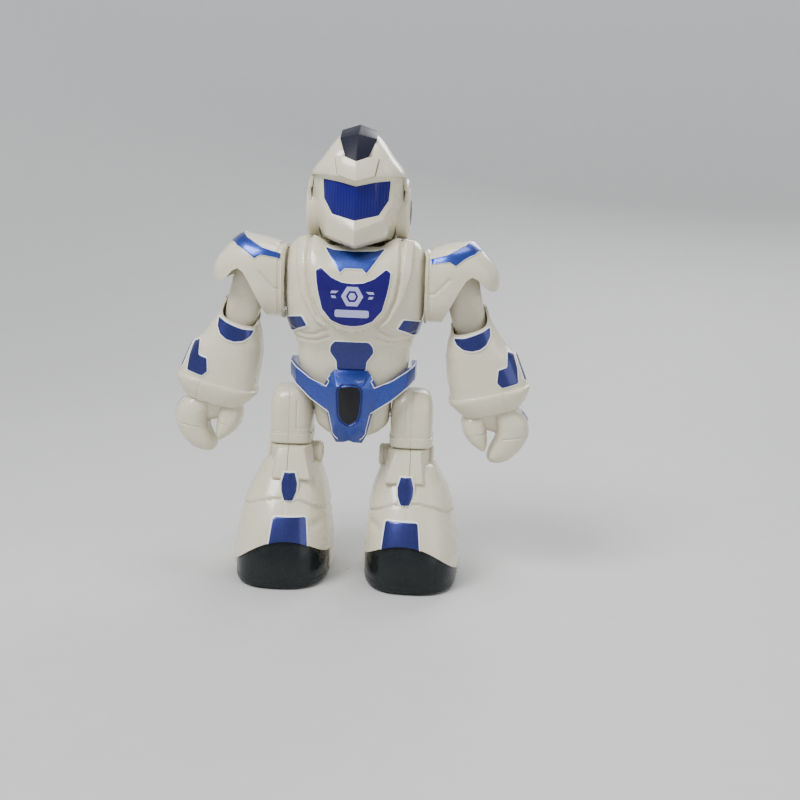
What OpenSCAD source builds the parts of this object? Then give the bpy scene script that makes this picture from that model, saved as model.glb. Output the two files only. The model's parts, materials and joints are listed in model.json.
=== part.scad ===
// Walking humanoid toy robot: moulded shells round a battery case, a circuit board
// and a geared motor in each boot. The origin is on the ground between the boots,
// the face looks along -Y, and the robot's left arm is on +X.

/* [Body] */
// Height of the crown above the ground
crown_z = 265; // [264:1:268]
// Wall thickness of the moulded shells
wall = 2; // [1.8:0.1:2.2]
// Gap between a trim and the recess or skin beside it
seam = 0.15; // [0.1:0.05:0.25]
// Radial running clearance of every pin in its bore
run_gap = 0.05; // [0.03:0.01:0.08]
// Width of the chest at the shoulder seam
chest_w = 82; // [80:1:83]

/* [Head] */
// Width of the helmet without its ears
head_w = 57; // [56:0.5:58]
// Radius of the round ear discs
ear_r = 15; // [14.5:0.5:15.5]

/* [Arms] */
// Angle at which the arms hang away from the body
arm_splay = 13.6; // [12:0.1:15]
// Distance from the shoulder hinge to the elbow pin
elbow_s = 40; // [39:0.5:41]
// Radius of the plain upper arm
upper_arm_r = 10.5; // [10:0.1:10.6]

/* [Legs] */
// Distance of each leg's middle from the body's middle
leg_x = 36; // [35.5:0.5:37]
// Width of a boot at its bottom
boot_w = 57; // [56:0.5:58]
// Length of a boot at its bottom
boot_d = 92; // [90:1:94]

/* [Drive] */
// Radius of the driven wheels
wheel_r = 10; // [9.8:0.1:10]
// Gear module
gear_m = 0.6; // [0.58:0.01:0.6]
// Thickness taken off each tooth for backlash
backlash = 0.14; // [0.12:0.01:0.18]

/* [Hidden] */
$fn = 48;
eps = 0.02;
big = 200;

ivory = "ivory";
blue = "royalblue";
indigo = "indigo";
gloss_black = "#15151a";
dark_grey = "dimgray";
steel = "silver";
board_green = "seagreen";

// Torso
waist_z = 118;
torso_top_z = 197;
shoulder_z = 176;
neck_r = 9;
shaft_r = 3;
shirt_screws = [[28, 140], [-28, 140], [26, 187], [-26, 187]];
screw_r = 1.25;
door_w = 44;
door_z0 = 124;
door_z1 = 178;
cell_r = 7.1;
cell_pitch = 15;
cell_y = 10;
door_screw_z = 176.5;
door_screw_head_y = 30.6;
switch_z = 186;
switch_slot_z = 1.7;

// Head
face_y = -8;
ear_y = 4;
ear_z = 216;
ear_cap_r = 8;
ear_x = 26.5;
head_power = 2.6;
panel_t = 1.2;

// Arms, measured down the arm from the shoulder hinge
arm_x = 59.5;
arm_z = 184;
pin_r = 2;
pin_half = 20.2;
elbow_pin_r = 1.5;
elbow_pin_half = 16.8;
knuckle_r = 8;
forearm_s0 = 34;
forearm_floor_s = 84;
cuff_end_s = 93;
hand_s0 = 93.5;
wrist_r = 4;
wing_x = 25;
wing_w = 20;

// Legs
hip_z = 98;
hip_r = 15;
hip_shaft_r = 2.5;
thigh_w = 28;
knee_z = 73;
knee_r = 8;
sole_top_z = 5;
sole_bottom_z = 1.5;

// Drive train, in a vertical plane across the boot
axle_y = 19;
axle_r = 1.5;
wheel_x0 = 16.9;
wheel_x1 = 22.2;
gear_shaft_r = 1;
axle_teeth = 28;
small_teeth = 12;
large_teeth = 30;
pinion_teeth = 10;
pressure_angle = 25;
axle_line = 110;
motor_line = 160;
motor_r = 10;
motor_flat = 7.5;
gear_pitch_a = gear_m * (axle_teeth + small_teeth) / 2;
gear_pitch_b = gear_m * (large_teeth + pinion_teeth) / 2;
axle_at = [axle_y, wheel_r];
reduction_at = axle_at + gear_pitch_a * [cos(axle_line), sin(axle_line)];
motor_at = reduction_at + gear_pitch_b * [cos(motor_line), sin(motor_line)];

// Cross-sections, bottom to top: [z, width, depth, middle y]
torso_form = [
    [waist_z, 62, 42, 0], [134, 63, 46, 0], [146, 70, 56, 0], [162, chest_w - 2, 62, 0],
    [182, chest_w, 60, 0], [192, 74, 52, 0], [torso_top_z, 54, 40, 0]
];
pelvis_form = [
    [88, 22, 26, 0], [97, 38, 34, 0], [113.5, 39, 38, 0], [114.5, 62, 40, 0], [waist_z, 62, 42, 0]
];
belt_form = [[83, 24, 40, 0], [96, 44, 46, 0], [110, 66, 48, 0], [128, 69.5, 50, 0]];
head_form = [
    [198, 34, 34, -7], [206, 50, 54, -4], [220, head_w, 66, -1], [238, head_w - 2, 66, 0],
    [252, 46, 54, 2], [crown_z - 5, 27, 32, 3], [crown_z - panel_t, 12, 14, 3]
];
boot_form = [
    [sole_top_z, boot_w, boot_d, 0], [20, boot_w - 2, boot_d - 4, 0], [45, 44, 60, 0], [66, 31, 36, 0]
];
forearm_form = [
    [-cuff_end_s, 44, 40, 0], [-90, 47, 43, 0], [-84, 46, 42, 0], [-80, 33, 32, 0],
    [-76, 32, 31, 0], [-62, 36, 35, 0], [-45, 36, 36, 0], [-forearm_s0, 34, 34, 0]
];
forearm_cavity = [
    [-forearm_floor_s, 26, 26, 0], [-76, 28, 27, 0], [-62, 32, 31, 0], [-45, 32, 32, 0],
    [-forearm_s0 + 1, 30, 30, 0]
];
hand_form = [
    [-128, 22, 18, 0], [-124, 34, 27, 0], [-112, 41, 31, 0], [-101, 38, 29, 0], [-hand_s0, 25, 23, 0]
];

// One rounded-square ring of a loft
ring_points = 20;
function signed_pow(v, p) = sign(v) * pow(abs(v), p);
function ring(s, power) = [
    for (i = [0 : ring_points - 1])
        let (a = 360 * (i + 0.5) / ring_points)
        [s[1] / 2 * signed_pow(cos(a), 2 / power), s[3] + s[2] / 2 * signed_pow(sin(a), 2 / power), s[0]]
];

// The same sections, grown or shrunk all round by t and lengthened at the ends
function grown(form, t, low = 0, high = 0) = [
    for (i = [0 : len(form) - 1])
        let (s = form[i], dz = i == 0 ? -low : i == len(form) - 1 ? high : 0)
        [s[0] + dz, s[1] + 2 * t, s[2] + 2 * t, s[3]]
];

module loft(form, power = 3) {
    n = ring_points;
    last = len(form) - 1;
    polyhedron(
        points = [for (s = form) each ring(s, power)],
        faces = concat(
            [[for (i = [0 : n - 1]) i]],
            [for (j = [0 : last - 1]) for (i = [0 : n - 1])
                [j * n + i, (j + 1) * n + i, (j + 1) * n + (i + 1) % n]],
            [for (j = [0 : last - 1]) for (i = [0 : n - 1])
                [j * n + i, (j + 1) * n + (i + 1) % n, j * n + (i + 1) % n]],
            [[for (i = [n - 1 : -1 : 0]) last * n + i]]
        )
    );
}

// A sheet lying on a loft's outside, between two distances from it
module skin(form, inside, outside, power = 3) {
    difference() {
        loft(grown(form, outside), power);
        loft(grown(form, inside, 1, 1), power);
    }
}

// A block between two corners
module block(low, high) {
    translate(low) cube(high - low);
}

// A front outline in x and z, pushed through from y0 to y1
module outline_y(points, y0, y1) {
    translate([0, y1, 0]) rotate([90, 0, 0]) linear_extrude(y1 - y0) polygon(points);
}

module mirror_x() {
    children();
    mirror([1, 0, 0]) children();
}

module rod_x(r, x0, x1, y = 0, z = 0) {
    translate([x0, y, z]) rotate([0, 90, 0]) cylinder(r = r, h = x1 - x0);
}

module rod_y(r, y0, y1, x = 0, z = 0) {
    translate([x, y1, z]) rotate([90, 0, 0]) cylinder(r = r, h = y1 - y0);
}

// The arm's own frame: its z axis runs up the arm and its zero is the shoulder hinge
module arm_frame() {
    translate([arm_x, 0, arm_z]) rotate([0, -arm_splay, 0]) children();
}

// ---- Torso ----

module torso_hollow() {
    difference() {
        loft(torso_form);
        loft(grown(torso_form, -wall, 1, -wall));
        neck_bore();
        mirror_x() rod_x(shaft_r, 30, 50, 0, shoulder_z);
    }
}

module neck_bore() {
    translate([0, 0, torso_top_z - 5]) cylinder(r = neck_r + run_gap, h = 10);
}

module screw_bosses(r, y0, y1) {
    intersection() {
        loft(grown(torso_form, -wall / 2));
        for (p = shirt_screws) rod_y(r, y0, y1, p[0], p[1]);
    }
}

module chest_shell() {
    color(ivory) difference() {
        union() {
            intersection() {
                torso_hollow();
                block([-big, -big, 0], [big, 0, big * 2]);
            }
            screw_bosses(3.5, -40, 0);
        }
        for (p = shirt_screws) rod_y(screw_r, -12, 1, p[0], p[1]);
    }
}

module door_block(gap) {
    block([-door_w / 2 - gap, 8, door_z0 - gap], [door_w / 2 + gap, 40, door_z1 + gap]);
}

module back_shell() {
    color(ivory) difference() {
        union() {
            intersection() {
                torso_hollow();
                block([-big, 0, 0], [big, big, big * 2]);
            }
            screw_bosses(4.5, 0, 40);
        }
        for (p = shirt_screws) {
            rod_y(screw_r + 0.25, -1, 12, p[0], p[1]);
            rod_y(3.1, 10, 40, p[0], p[1]);
        }
        door_block(seam);
        block([-5, 15, switch_z - switch_slot_z], [5, 40, switch_z + switch_slot_z]);
    }
}

module hip_clearance() {
    mirror_x() rod_x(hip_r + 0.6, leg_x - thigh_w / 2 - 1.5, 70, 0, hip_z);
}

module pelvis_shell() {
    color(ivory) difference() {
        loft(pelvis_form);
        loft(grown(pelvis_form, -wall, -wall, 1));
        rod_x(hip_shaft_r, -30, 30, 0, hip_z);
        hip_clearance();
    }
}

plate_outline = [
    [-21.5, 182], [-20, 169], [-17, 160], [-11, 153.5], [0, 151], [11, 153.5], [17, 160], [20, 169],
    [21.5, 182], [18.5, 184], [12, 178], [0, 175], [-12, 178], [-18.5, 184]
];

module chest_plate() {
    color(indigo) intersection() {
        skin(torso_form, eps, 1);
        outline_y(plate_outline, -big / 4, -10);
    }
}

collar_outline = [[-13, 193], [-7, 181], [-4, 183], [0, 182.5], [4, 183], [7, 181], [13, 193]];

module collar_trim() {
    color(blue) intersection() {
        skin(torso_form, eps, 1);
        outline_y(collar_outline, -big / 4, -10);
    }
}

flank_outline = [[22, 146], [45, 150], [45, 158], [34, 154], [24, 156]];
abdomen_outline = [[-11, 142], [-7, 134], [-9, 129], [9, 129], [7, 134], [11, 142]];

module torso_trims() {
    color(blue) intersection() {
        skin(torso_form, eps, 0.8);
        union() {
            mirror_x() outline_y(flank_outline, -big / 4, 20);
            outline_y(abdomen_outline, -big / 4, -10);
        }
    }
}

belt_outline = [
    [-40, 126], [-40, 112], [-14, 96], [-7, 84], [7, 84], [14, 96], [40, 112], [40, 126],
    [16, 113], [9, 115], [-9, 115], [-16, 113]
];
window_outline = [[-6, 107], [-4, 110.5], [4, 110.5], [6, 107], [5, 94], [0, 89], [-5, 94]];

module belt() {
    color(blue) difference() {
        intersection() {
            skin(belt_form, -1.6, 0, 4);
            outline_y(belt_outline, -40, 10);
        }
        outline_y([for (p = window_outline) [p[0] * 1.04, 100 + (p[1] - 100) * 1.03]], -40, 0);
        hip_clearance();
    }
}

module belt_window() {
    color(gloss_black) intersection() {
        skin(belt_form, -1.6, 0.5, 4);
        outline_y(window_outline, -40, -10);
    }
}

module battery_case() {
    color(dark_grey) difference() {
        intersection() {
            block([-23, 1.5, 121], [23, 17, 181]);
            loft(grown(torso_form, -wall - seam, 0, -wall));
        }
        for (i = [-1 : 1]) translate([i * cell_pitch, cell_y, 125]) cylinder(r = cell_r + 0.2, h = 51);
        block([-22, cell_y, 125], [22, 30, 173]);
        rod_y(screw_r + 0.3, 8, 30, 0, door_screw_z);
    }
}

module battery_cells() {
    color(gloss_black) for (i = [-1 : 1]) translate([i * cell_pitch, cell_y, 125.2]) {
        cylinder(r = cell_r, h = 49);
        cylinder(r = 2.6, h = 50.5);
    }
}

module battery_door() {
    color(ivory) difference() {
        intersection() {
            skin(torso_form, -wall, 0);
            door_block(0);
        }
        rod_y(screw_r + 0.3, 8, 40, 0, door_screw_z);
    }
}

module door_screw() {
    color(steel) {
        rod_y(screw_r, 13.5, door_screw_head_y, 0, door_screw_z);
        rod_y(2.6, door_screw_head_y, 32, 0, door_screw_z);
    }
}

module main_board() {
    color(board_green) {
        block([-20, -14, 126], [20, -12.4, 172]);
        block([-6, -16, 140], [6, -13.9, 152]);
        block([8, -17, 158], [16, -13.9, 166]);
    }
}

module speaker() {
    color(dark_grey) {
        rod_y(13, -24, -21.5, 0, 158);
        rod_y(8, -21.6, -17.5, 0, 158);
    }
}

module body_screws() {
    color(steel) for (p = shirt_screws) {
        rod_y(screw_r, -10, 10.1, p[0], p[1]);
        rod_y(2.8, 10.05, 11.8, p[0], p[1]);
    }
}

module hip_shaft() {
    color(steel) rod_x(hip_shaft_r, -leg_x - 12, leg_x + 12, 0, hip_z);
}

module shoulder_shafts() {
    color(steel) mirror_x() {
        rod_x(shaft_r, 36, 46.5, 0, shoulder_z);
        rod_x(5, 36, 38, 0, shoulder_z);
        rod_x(5, 45.2, 46.6, 0, shoulder_z);
    }
}

// The slide switch's knob, which runs in its slot in the back
module power_switch() {
    color(gloss_black) {
        block([-2.5, 20, switch_z - 1.5], [2.5, 31.5, switch_z + 1.5]);
        block([-6.5, 20, switch_z - 3], [6.5, 21.5, switch_z + 3]);
    }
}

// ---- Head ----

module ear_pockets(gap) {
    mirror_x() rod_x(ear_r + gap, ear_x - gap, 60, ear_y, ear_z);
}

crown_plan = [[0, -27], [11, -15], [9, 14], [0, 24], [-9, 14], [-11, -15]];

module crown_column() {
    translate([0, 0, 240]) linear_extrude(60) polygon(crown_plan);
}

visor_outline = [
    [-20, 232], [-20, 221], [-14, 212], [0, 208], [14, 212], [20, 221], [20, 232], [0, 229]
];

module head_hollow() {
    difference() {
        loft(head_form, head_power);
        loft(grown(head_form, -wall, -wall, -wall), head_power);
        ear_pockets(seam);
        translate([0, 0, 190]) cylinder(r = neck_r, h = 12);
    }
}

module face_shell() {
    color(ivory) difference() {
        union() {
            intersection() {
                head_hollow();
                block([-big, -big, 0], [big, face_y, big * 2]);
            }
            intersection() {
                loft(grown(head_form, -wall / 2), head_power);
                mirror_x() rod_y(2, -40, -22, 10, 206);
            }
        }
        outline_y([for (p = visor_outline) [p[0] * 1.01, 220 + (p[1] - 220) * 1.015]], -50, face_y - 8);
    }
}

module helmet_shell() {
    color(ivory) intersection() {
        head_hollow();
        block([-big, face_y, 0], [big, big, big * 2]);
    }
}

module crown_panel() {
    color(gloss_black) intersection() {
        difference() {
            loft(grown(head_form, panel_t, 0, panel_t), head_power);
            loft(grown(head_form, eps, 0, eps), head_power);
        }
        crown_column();
    }
}

module visor() {
    color(blue) intersection() {
        difference() {
            loft(head_form, head_power);
            loft(grown(head_form, -wall, -wall, -wall), head_power);
        }
        outline_y(visor_outline, -50, face_y - 8);
    }
}

module ear_discs() {
    color(ivory) mirror_x() difference() {
        rod_x(ear_r, ear_x, 30, ear_y, ear_z);
        rod_x(ear_cap_r + seam, 29, 31, ear_y, ear_z);
    }
}

module ear_caps() {
    color(gloss_black) mirror_x() rod_x(ear_cap_r, 29, 30.8, ear_y, ear_z);
}

module eye_board() {
    color(board_green) block([-13.5, -22, 203.5], [13.5, -20.8, 226]);
    color("white") mirror_x() rod_y(2.5, -26, -21.9, 9, 220);
}

module neck_hub() {
    color(dark_grey) {
        translate([0, 0, torso_top_z - 6]) cylinder(r = neck_r, h = 11);
        translate([0, 0, torso_top_z - 6]) cylinder(r = neck_r + 3, h = 3);
    }
}

// ---- Arms ----

// Spins a profile of [radius, x] points about the line through the shoulder along X
module shoulder_turned(points) {
    translate([0, 0, shoulder_z]) rotate([0, 90, 0]) rotate_extrude() polygon(points);
}

shoulder_profile = [[0, 43], [23.5, 43], [23.5, 58], [20, 70], [12, 80], [0, 83]];
shoulder_cavity = [[0, 45], [21.5, 45], [21.5, 57.5], [18.2, 68.8], [10.8, 78.4], [0, 81]];
shoulder_skin = [[0, 43.5], [24.3, 43.5], [24.3, 58], [20.8, 70.4], [12.6, 80.8], [0, 83.8]];

module shoulder_shell() {
    color(ivory) difference() {
        shoulder_turned(shoulder_profile);
        shoulder_turned(shoulder_cavity);
        block([48, -11.7, 140], [90, 11.7, shoulder_z]);
        block([70, -30, 140], [90, 30, 170]);
        rod_x(shaft_r + run_gap, 40, 46, 0, shoulder_z);
        rod_y(pin_r + run_gap, -30, 30, arm_x, arm_z);
    }
}

stripe_outline = [[46, 198], [46, 190], [60, 180], [80, 171], [80, 180], [62, 188], [52, 198]];

module shoulder_stripe() {
    color(blue) intersection() {
        difference() {
            shoulder_turned(shoulder_skin);
            shoulder_turned([for (p = shoulder_profile) [p[0] * 1.001, p[1] > 44 ? p[1] + eps : 40]]);
        }
        outline_y(stripe_outline, -40, -3);
    }
}

module upper_arm() {
    color(ivory) difference() {
        union() {
            arm_frame() {
                sphere(r = upper_arm_r);
                translate([0, 0, -elbow_s + 3]) cylinder(r = upper_arm_r, h = elbow_s - 3);
                rod_x(knuckle_r, -9, 9, 0, -elbow_s);
            }
        }
        arm_frame() {
            rod_y(pin_r, -20, 20);
            rod_x(elbow_pin_r, -20, 20, 0, -elbow_s);
        }
    }
}

module arm_pins() {
    color(steel) arm_frame() {
        rod_y(pin_r, -pin_half, pin_half);
        rod_x(elbow_pin_r, -elbow_pin_half, elbow_pin_half, 0, -elbow_s);
    }
}

// The sloped mouth, lower at the front
module forearm_mouth() {
    translate([0, 0, -elbow_s - 2]) rotate([38, 0, 0]) block([-40, -60, 0], [40, -1, 40]);
}

module forearm() {
    color(ivory) arm_frame() difference() {
        union() {
            loft(forearm_form);
            block([16, -wing_w / 2, -76], [wing_x, wing_w / 2, -46]);
        }
        loft(grown(forearm_cavity, 0, 0, 4));
        forearm_mouth();
        rod_x(elbow_pin_r + run_gap, -20, 20, 0, -elbow_s);
        translate([0, 0, -100]) cylinder(r = wrist_r + run_gap, h = 20);
    }
}

crescent_outline = [[-12, -46], [12, -46], [8, -53], [0, -56], [-8, -53]];

module forearm_trims() {
    color(blue) arm_frame() {
        difference() {
            intersection() {
                skin(forearm_form, eps, 0.8);
                outline_y(crescent_outline, -30, -5);
            }
            forearm_mouth();
        }
        block([wing_x + eps, 2 - wing_w / 2, -74], [wing_x + 1, wing_w / 2 - 2, -50]);
    }
}

module hand() {
    color(ivory) arm_frame() {
        difference() {
            loft(hand_form);
            translate([0, 0, -114]) rod_y(4, -30, 30);
            translate([-4, -30, -130]) cube([3, 60, 14]);
        }
        translate([0, 0, -hand_s0 - 1]) cylinder(r = wrist_r, h = hand_s0 + 1 - 81.5);
        translate([0, 0, -forearm_floor_s + eps]) cylinder(r = wrist_r + 2, h = 2.4);
    }
}

// ---- Legs ----

module arch_outline(gap) {
    a = 24 + gap;
    h = 23 + gap;
    translate([0, -14 + gap, 0]) rotate([90, 0, 0]) linear_extrude(60)
        polygon([for (t = [0 : 12 : 180]) [a * cos(t), sole_top_z - gap + h * sin(t)]]);
}

module boot_walls() {
    difference() {
        loft(boot_form);
        loft(grown(boot_form, -wall, 1, 1));
    }
}

module leg_solid(t) {
    loft(grown(boot_form, -t, t > 0 ? 1 : 0, 0));
    block([-13 + t, -15 + t, 60], [13 - t, 15 - t, 86]);
    rod_x(knee_r, -16.5 + t, 16.5 - t, 0, knee_z);
    block([-thigh_w / 2 + t, -hip_r + t, 84], [thigh_w / 2 - t, hip_r - t, hip_z]);
    rod_x(hip_r - t, -thigh_w / 2 + t, thigh_w / 2 - t, 0, hip_z);
}

module leg_half(side) {
    color(ivory) translate([leg_x, 0, 0]) intersection() {
        difference() {
            leg_solid(0);
            difference() {
                leg_solid(wall);
                rod_x(hip_shaft_r + 2.5, -20, 20, 0, hip_z);
            }
            arch_outline(seam);
            rod_x(hip_shaft_r + run_gap, -20, 20, 0, hip_z);
        }
        block([min(0, side * 80), -80, 0], [max(0, side * 80), 80, 150]);
    }
}

hex_badge = [[-5, 62], [-5, 55], [0, 49], [5, 55], [5, 62], [0, 66]];
toe_badge = [[-11, 31], [-9, 43], [-6, 46], [6, 46], [9, 43], [11, 31]];

module leg_badges() {
    color(blue) translate([leg_x, 0, 0]) intersection() {
        skin(boot_form, eps, 1);
        union() {
            outline_y(hex_badge, -60, -10);
            outline_y(toe_badge, -60, -10);
        }
    }
}

module wheel_slots() {
    mirror_x() block([16.5, axle_y - 10.5, 0], [23.5, axle_y + 10.5, 8]);
    block([9.4, axle_y - 9.8, 0], [14.5, axle_y + 9.8, 8]);
}

module sole() {
    color(gloss_black) translate([leg_x, 0, 0]) difference() {
        union() {
            loft([[sole_bottom_z, boot_w - 3, boot_d - 4, 0], [sole_top_z, boot_w - 1, boot_d - 1, 0]]);
            intersection() {
                boot_walls();
                arch_outline(0);
            }
            block([-20, -38, 0], [20, -18, 3]);
        }
        wheel_slots();
    }
}

// The gearbox stands on the sole; its plates carry the motor, the pin and the axle
module gearbox_frame() {
    color(dark_grey) translate([leg_x, 0, 0]) difference() {
        union() {
            block([-16.4, axle_y - 21, sole_top_z], [16.4, axle_y + 9, sole_top_z + 1.6]);
            block([3.2, axle_y - 21, sole_top_z], [5.2, axle_y + 5, 30]);
            block([14.7, axle_y - 9, sole_top_z], [16.4, axle_y + 5, 26]);
            block([-16.4, axle_y - 3.5, sole_top_z], [-14.7, axle_y + 3.5, 14]);
        }
        wheel_slots();
        rod_x(axle_r + run_gap, -20, 20, axle_at[0], axle_at[1]);
        rod_x(gear_shaft_r + run_gap, 0, 20, reduction_at[0], reduction_at[1]);
        rod_x(3.1, 0, 6, motor_at[0], motor_at[1]);
    }
}

module drive_motor() {
    color(steel) translate([leg_x, motor_at[0], motor_at[1]]) difference() {
        union() {
            intersection() {
                rod_x(motor_r, -19, 3.2);
                block([-30, -motor_r, -motor_flat], [30, motor_r, motor_flat]);
            }
            rod_x(3, 3, 5.2);
        }
        rod_x(gear_shaft_r + run_gap, -17, 10);
    }
}

// An involute gear blank in its own plane, with a tooth centred on the first axis
function rolled(rb, r) = sqrt(max(0, pow(r / rb, 2) - 1));
function involute_angle(rb, r) = rolled(rb, r) * 180 / PI - atan(rolled(rb, r));

module gear_2d(teeth) {
    r_pitch = gear_m * teeth / 2;
    r_base = r_pitch * cos(pressure_angle);
    r_tip = r_pitch + 0.8 * gear_m;
    r_root = r_pitch - 1.15 * gear_m;
    half_pitch = (90 / teeth) - (backlash / 2 / r_pitch) * 180 / PI + involute_angle(r_base, r_pitch);
    flank = [for (k = [0 : 4]) max(r_base, r_root + 0.1) + (r_tip - max(r_base, r_root + 0.1)) * k / 4];
    polygon([
        for (i = [0 : teeth - 1])
            let (mid = 360 * i / teeth)
            each concat(
                [r_root * [cos(mid - half_pitch), sin(mid - half_pitch)]],
                [for (r = flank) let (a = mid - half_pitch + involute_angle(r_base, r))
                    r * [cos(a), sin(a)]],
                [for (k = [4 : -1 : 0]) let (r = flank[k], a = mid + half_pitch - involute_angle(r_base, r))
                    r * [cos(a), sin(a)]],
                [r_root * [cos(mid + half_pitch), sin(mid + half_pitch)]]
            )
    ]);
}

// A gear between x0 and x1 whose tooth points along the angle given, measured from +Y to +Z
module gear_x(teeth, x0, x1, at, angle) {
    translate([x0, at[0], at[1]]) rotate([90, 0, 90]) rotate([0, 0, angle])
        linear_extrude(x1 - x0) gear_2d(teeth);
}

module motor_pinion() {
    color("gold") translate([leg_x, 0, 0]) {
        gear_x(pinion_teeth, 6, 9.8, motor_at, motor_line + 180 + 180 / pinion_teeth);
        rod_x(gear_shaft_r, -15, 10.5, motor_at[0], motor_at[1]);
    }
}

module reduction_gear() {
    color("white") translate([leg_x, 0, 0]) {
        gear_x(large_teeth, 6.2, 9.6, reduction_at, motor_line);
        gear_x(small_teeth, 9.6, 14.2, reduction_at, axle_line + 180);
        rod_x(gear_shaft_r, 3.4, 16.2, reduction_at[0], reduction_at[1]);
    }
}

module drive_axle() {
    color("white") translate([leg_x, 0, 0]) {
        gear_x(axle_teeth, 10, 14, axle_at, axle_line + 180 / axle_teeth);
        rod_x(axle_r, -wheel_x1, wheel_x1, axle_at[0], axle_at[1]);
    }
}

module wheels() {
    color(gloss_black) translate([leg_x, 0, 0]) mirror_x() difference() {
        rod_x(wheel_r, wheel_x0, wheel_x1, axle_at[0], axle_at[1]);
        rod_x(axle_r, 10, 30, axle_at[0], axle_at[1]);
        rod_x(wheel_r - 3, wheel_x1 - 1.3, 30, axle_at[0], axle_at[1]);
    }
}

chest_shell();
back_shell();
pelvis_shell();
chest_plate();
collar_trim();
torso_trims();
belt();
belt_window();
battery_case();
battery_cells();
main_board();
speaker();
body_screws();
hip_shaft();
shoulder_shafts();
battery_door();
door_screw();
power_switch();
face_shell();
helmet_shell();
crown_panel();
visor();
ear_discs();
ear_caps();
eye_board();
neck_hub();
shoulder_shell();  // shoulder_shell_left
shoulder_stripe();  // shoulder_stripe_left
upper_arm();  // upper_arm_left
arm_pins();  // arm_pins_left
forearm();  // forearm_left
forearm_trims();  // forearm_trims_left
hand();  // hand_left
leg_half(-1);  // inner_leg_shell_left
leg_half(1);  // outer_leg_shell_left
leg_badges();  // leg_badges_left
sole();  // sole_left
gearbox_frame();  // gearbox_frame_left
drive_motor();  // drive_motor_left
motor_pinion();  // motor_pinion_left
reduction_gear();  // reduction_gear_left
drive_axle();  // drive_axle_left
wheels();  // wheels_left
mirror([1, 0, 0]) shoulder_shell();  // shoulder_shell_right
mirror([1, 0, 0]) shoulder_stripe();  // shoulder_stripe_right
mirror([1, 0, 0]) upper_arm();  // upper_arm_right
mirror([1, 0, 0]) arm_pins();  // arm_pins_right
mirror([1, 0, 0]) forearm();  // forearm_right
mirror([1, 0, 0]) forearm_trims();  // forearm_trims_right
mirror([1, 0, 0]) hand();  // hand_right
mirror([1, 0, 0]) leg_half(-1);  // inner_leg_shell_right
mirror([1, 0, 0]) leg_half(1);  // outer_leg_shell_right
mirror([1, 0, 0]) leg_badges();  // leg_badges_right
mirror([1, 0, 0]) sole();  // sole_right
mirror([1, 0, 0]) gearbox_frame();  // gearbox_frame_right
mirror([1, 0, 0]) drive_motor();  // drive_motor_right
mirror([1, 0, 0]) motor_pinion();  // motor_pinion_right
mirror([1, 0, 0]) reduction_gear();  // reduction_gear_right
mirror([1, 0, 0]) drive_axle();  // drive_axle_right
mirror([1, 0, 0]) wheels();  // wheels_right
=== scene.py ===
"""Walking humanoid toy robot: glossy moulded shells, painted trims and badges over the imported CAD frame."""

import json
import math

import bmesh
import bpy
import numpy as np
from mathutils import Matrix, Vector
from mathutils.bvhtree import BVHTree


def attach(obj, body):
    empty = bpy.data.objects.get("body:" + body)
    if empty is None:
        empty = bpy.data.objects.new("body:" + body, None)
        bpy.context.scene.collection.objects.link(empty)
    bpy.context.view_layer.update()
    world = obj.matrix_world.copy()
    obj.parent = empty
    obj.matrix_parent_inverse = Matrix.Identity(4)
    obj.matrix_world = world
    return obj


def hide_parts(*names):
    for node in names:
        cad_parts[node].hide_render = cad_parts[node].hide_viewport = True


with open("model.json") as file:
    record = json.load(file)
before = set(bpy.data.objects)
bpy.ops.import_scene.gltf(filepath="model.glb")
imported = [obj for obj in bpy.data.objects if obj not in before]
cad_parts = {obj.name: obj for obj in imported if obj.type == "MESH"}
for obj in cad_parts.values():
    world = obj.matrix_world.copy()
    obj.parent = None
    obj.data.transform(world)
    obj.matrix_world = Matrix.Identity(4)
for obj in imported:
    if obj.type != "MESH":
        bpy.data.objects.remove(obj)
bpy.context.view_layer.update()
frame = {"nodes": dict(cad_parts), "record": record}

MM = 0.001
SIDES = ("left", "right")
SHELL_T = 1.4
EDGE_BEVEL = 0.35
CREASE = 32
WELD = 0.00002

# ---- Mesh kit: every length below is in millimetres until a mesh is written ----


def smooth_step(v, low, high):
    t = np.clip((v - low) / (high - low), 0, 1)
    return t * t * (3 - 2 * t)


def polygon_distance(x, z, points):
    """Distance to a closed outline, negative inside it."""
    nearest = np.full(np.shape(x), 1e9)
    inside = np.zeros(np.shape(x), bool)
    for (ax, az), (bx, bz) in zip(points, points[1:] + points[:1]):
        ex, ez = bx - ax, bz - az
        t = np.clip(((x - ax) * ex + (z - az) * ez) / (ex * ex + ez * ez + 1e-12), 0, 1)
        nearest = np.minimum(nearest, np.hypot(x - ax - t * ex, z - az - t * ez))
        crossed = (az > z) != (bz > z)
        inside ^= crossed & (x < ex * (z - az) / (ez if ez else 1e-12) + ax)
    return np.where(inside, -nearest, nearest)


def line_distance(x, z, points):
    """Distance to an open line of points."""
    nearest = np.full(np.shape(x), 1e9)
    for (ax, az), (bx, bz) in zip(points, points[1:]):
        ex, ez = bx - ax, bz - az
        t = np.clip(((x - ax) * ex + (z - az) * ez) / (ex * ex + ez * ez + 1e-12), 0, 1)
        nearest = np.minimum(nearest, np.hypot(x - ax - t * ex, z - az - t * ez))
    return nearest


def rounded(points, radius, steps=5):
    """A closed outline with its corners turned into arcs."""
    out = []
    count = len(points)
    for i, corner in enumerate(points):
        corner = Vector(corner)
        before = Vector(points[i - 1]) - corner
        after = Vector(points[(i + 1) % count]) - corner
        reach = min(radius, before.length * 0.45, after.length * 0.45)
        start = corner + before.normalized() * reach
        end = corner + after.normalized() * reach
        for k in range(steps + 1):
            t = k / steps
            out.append(tuple(start * (1 - t) ** 2 + corner * 2 * t * (1 - t) + end * t * t))
    return out


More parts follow.
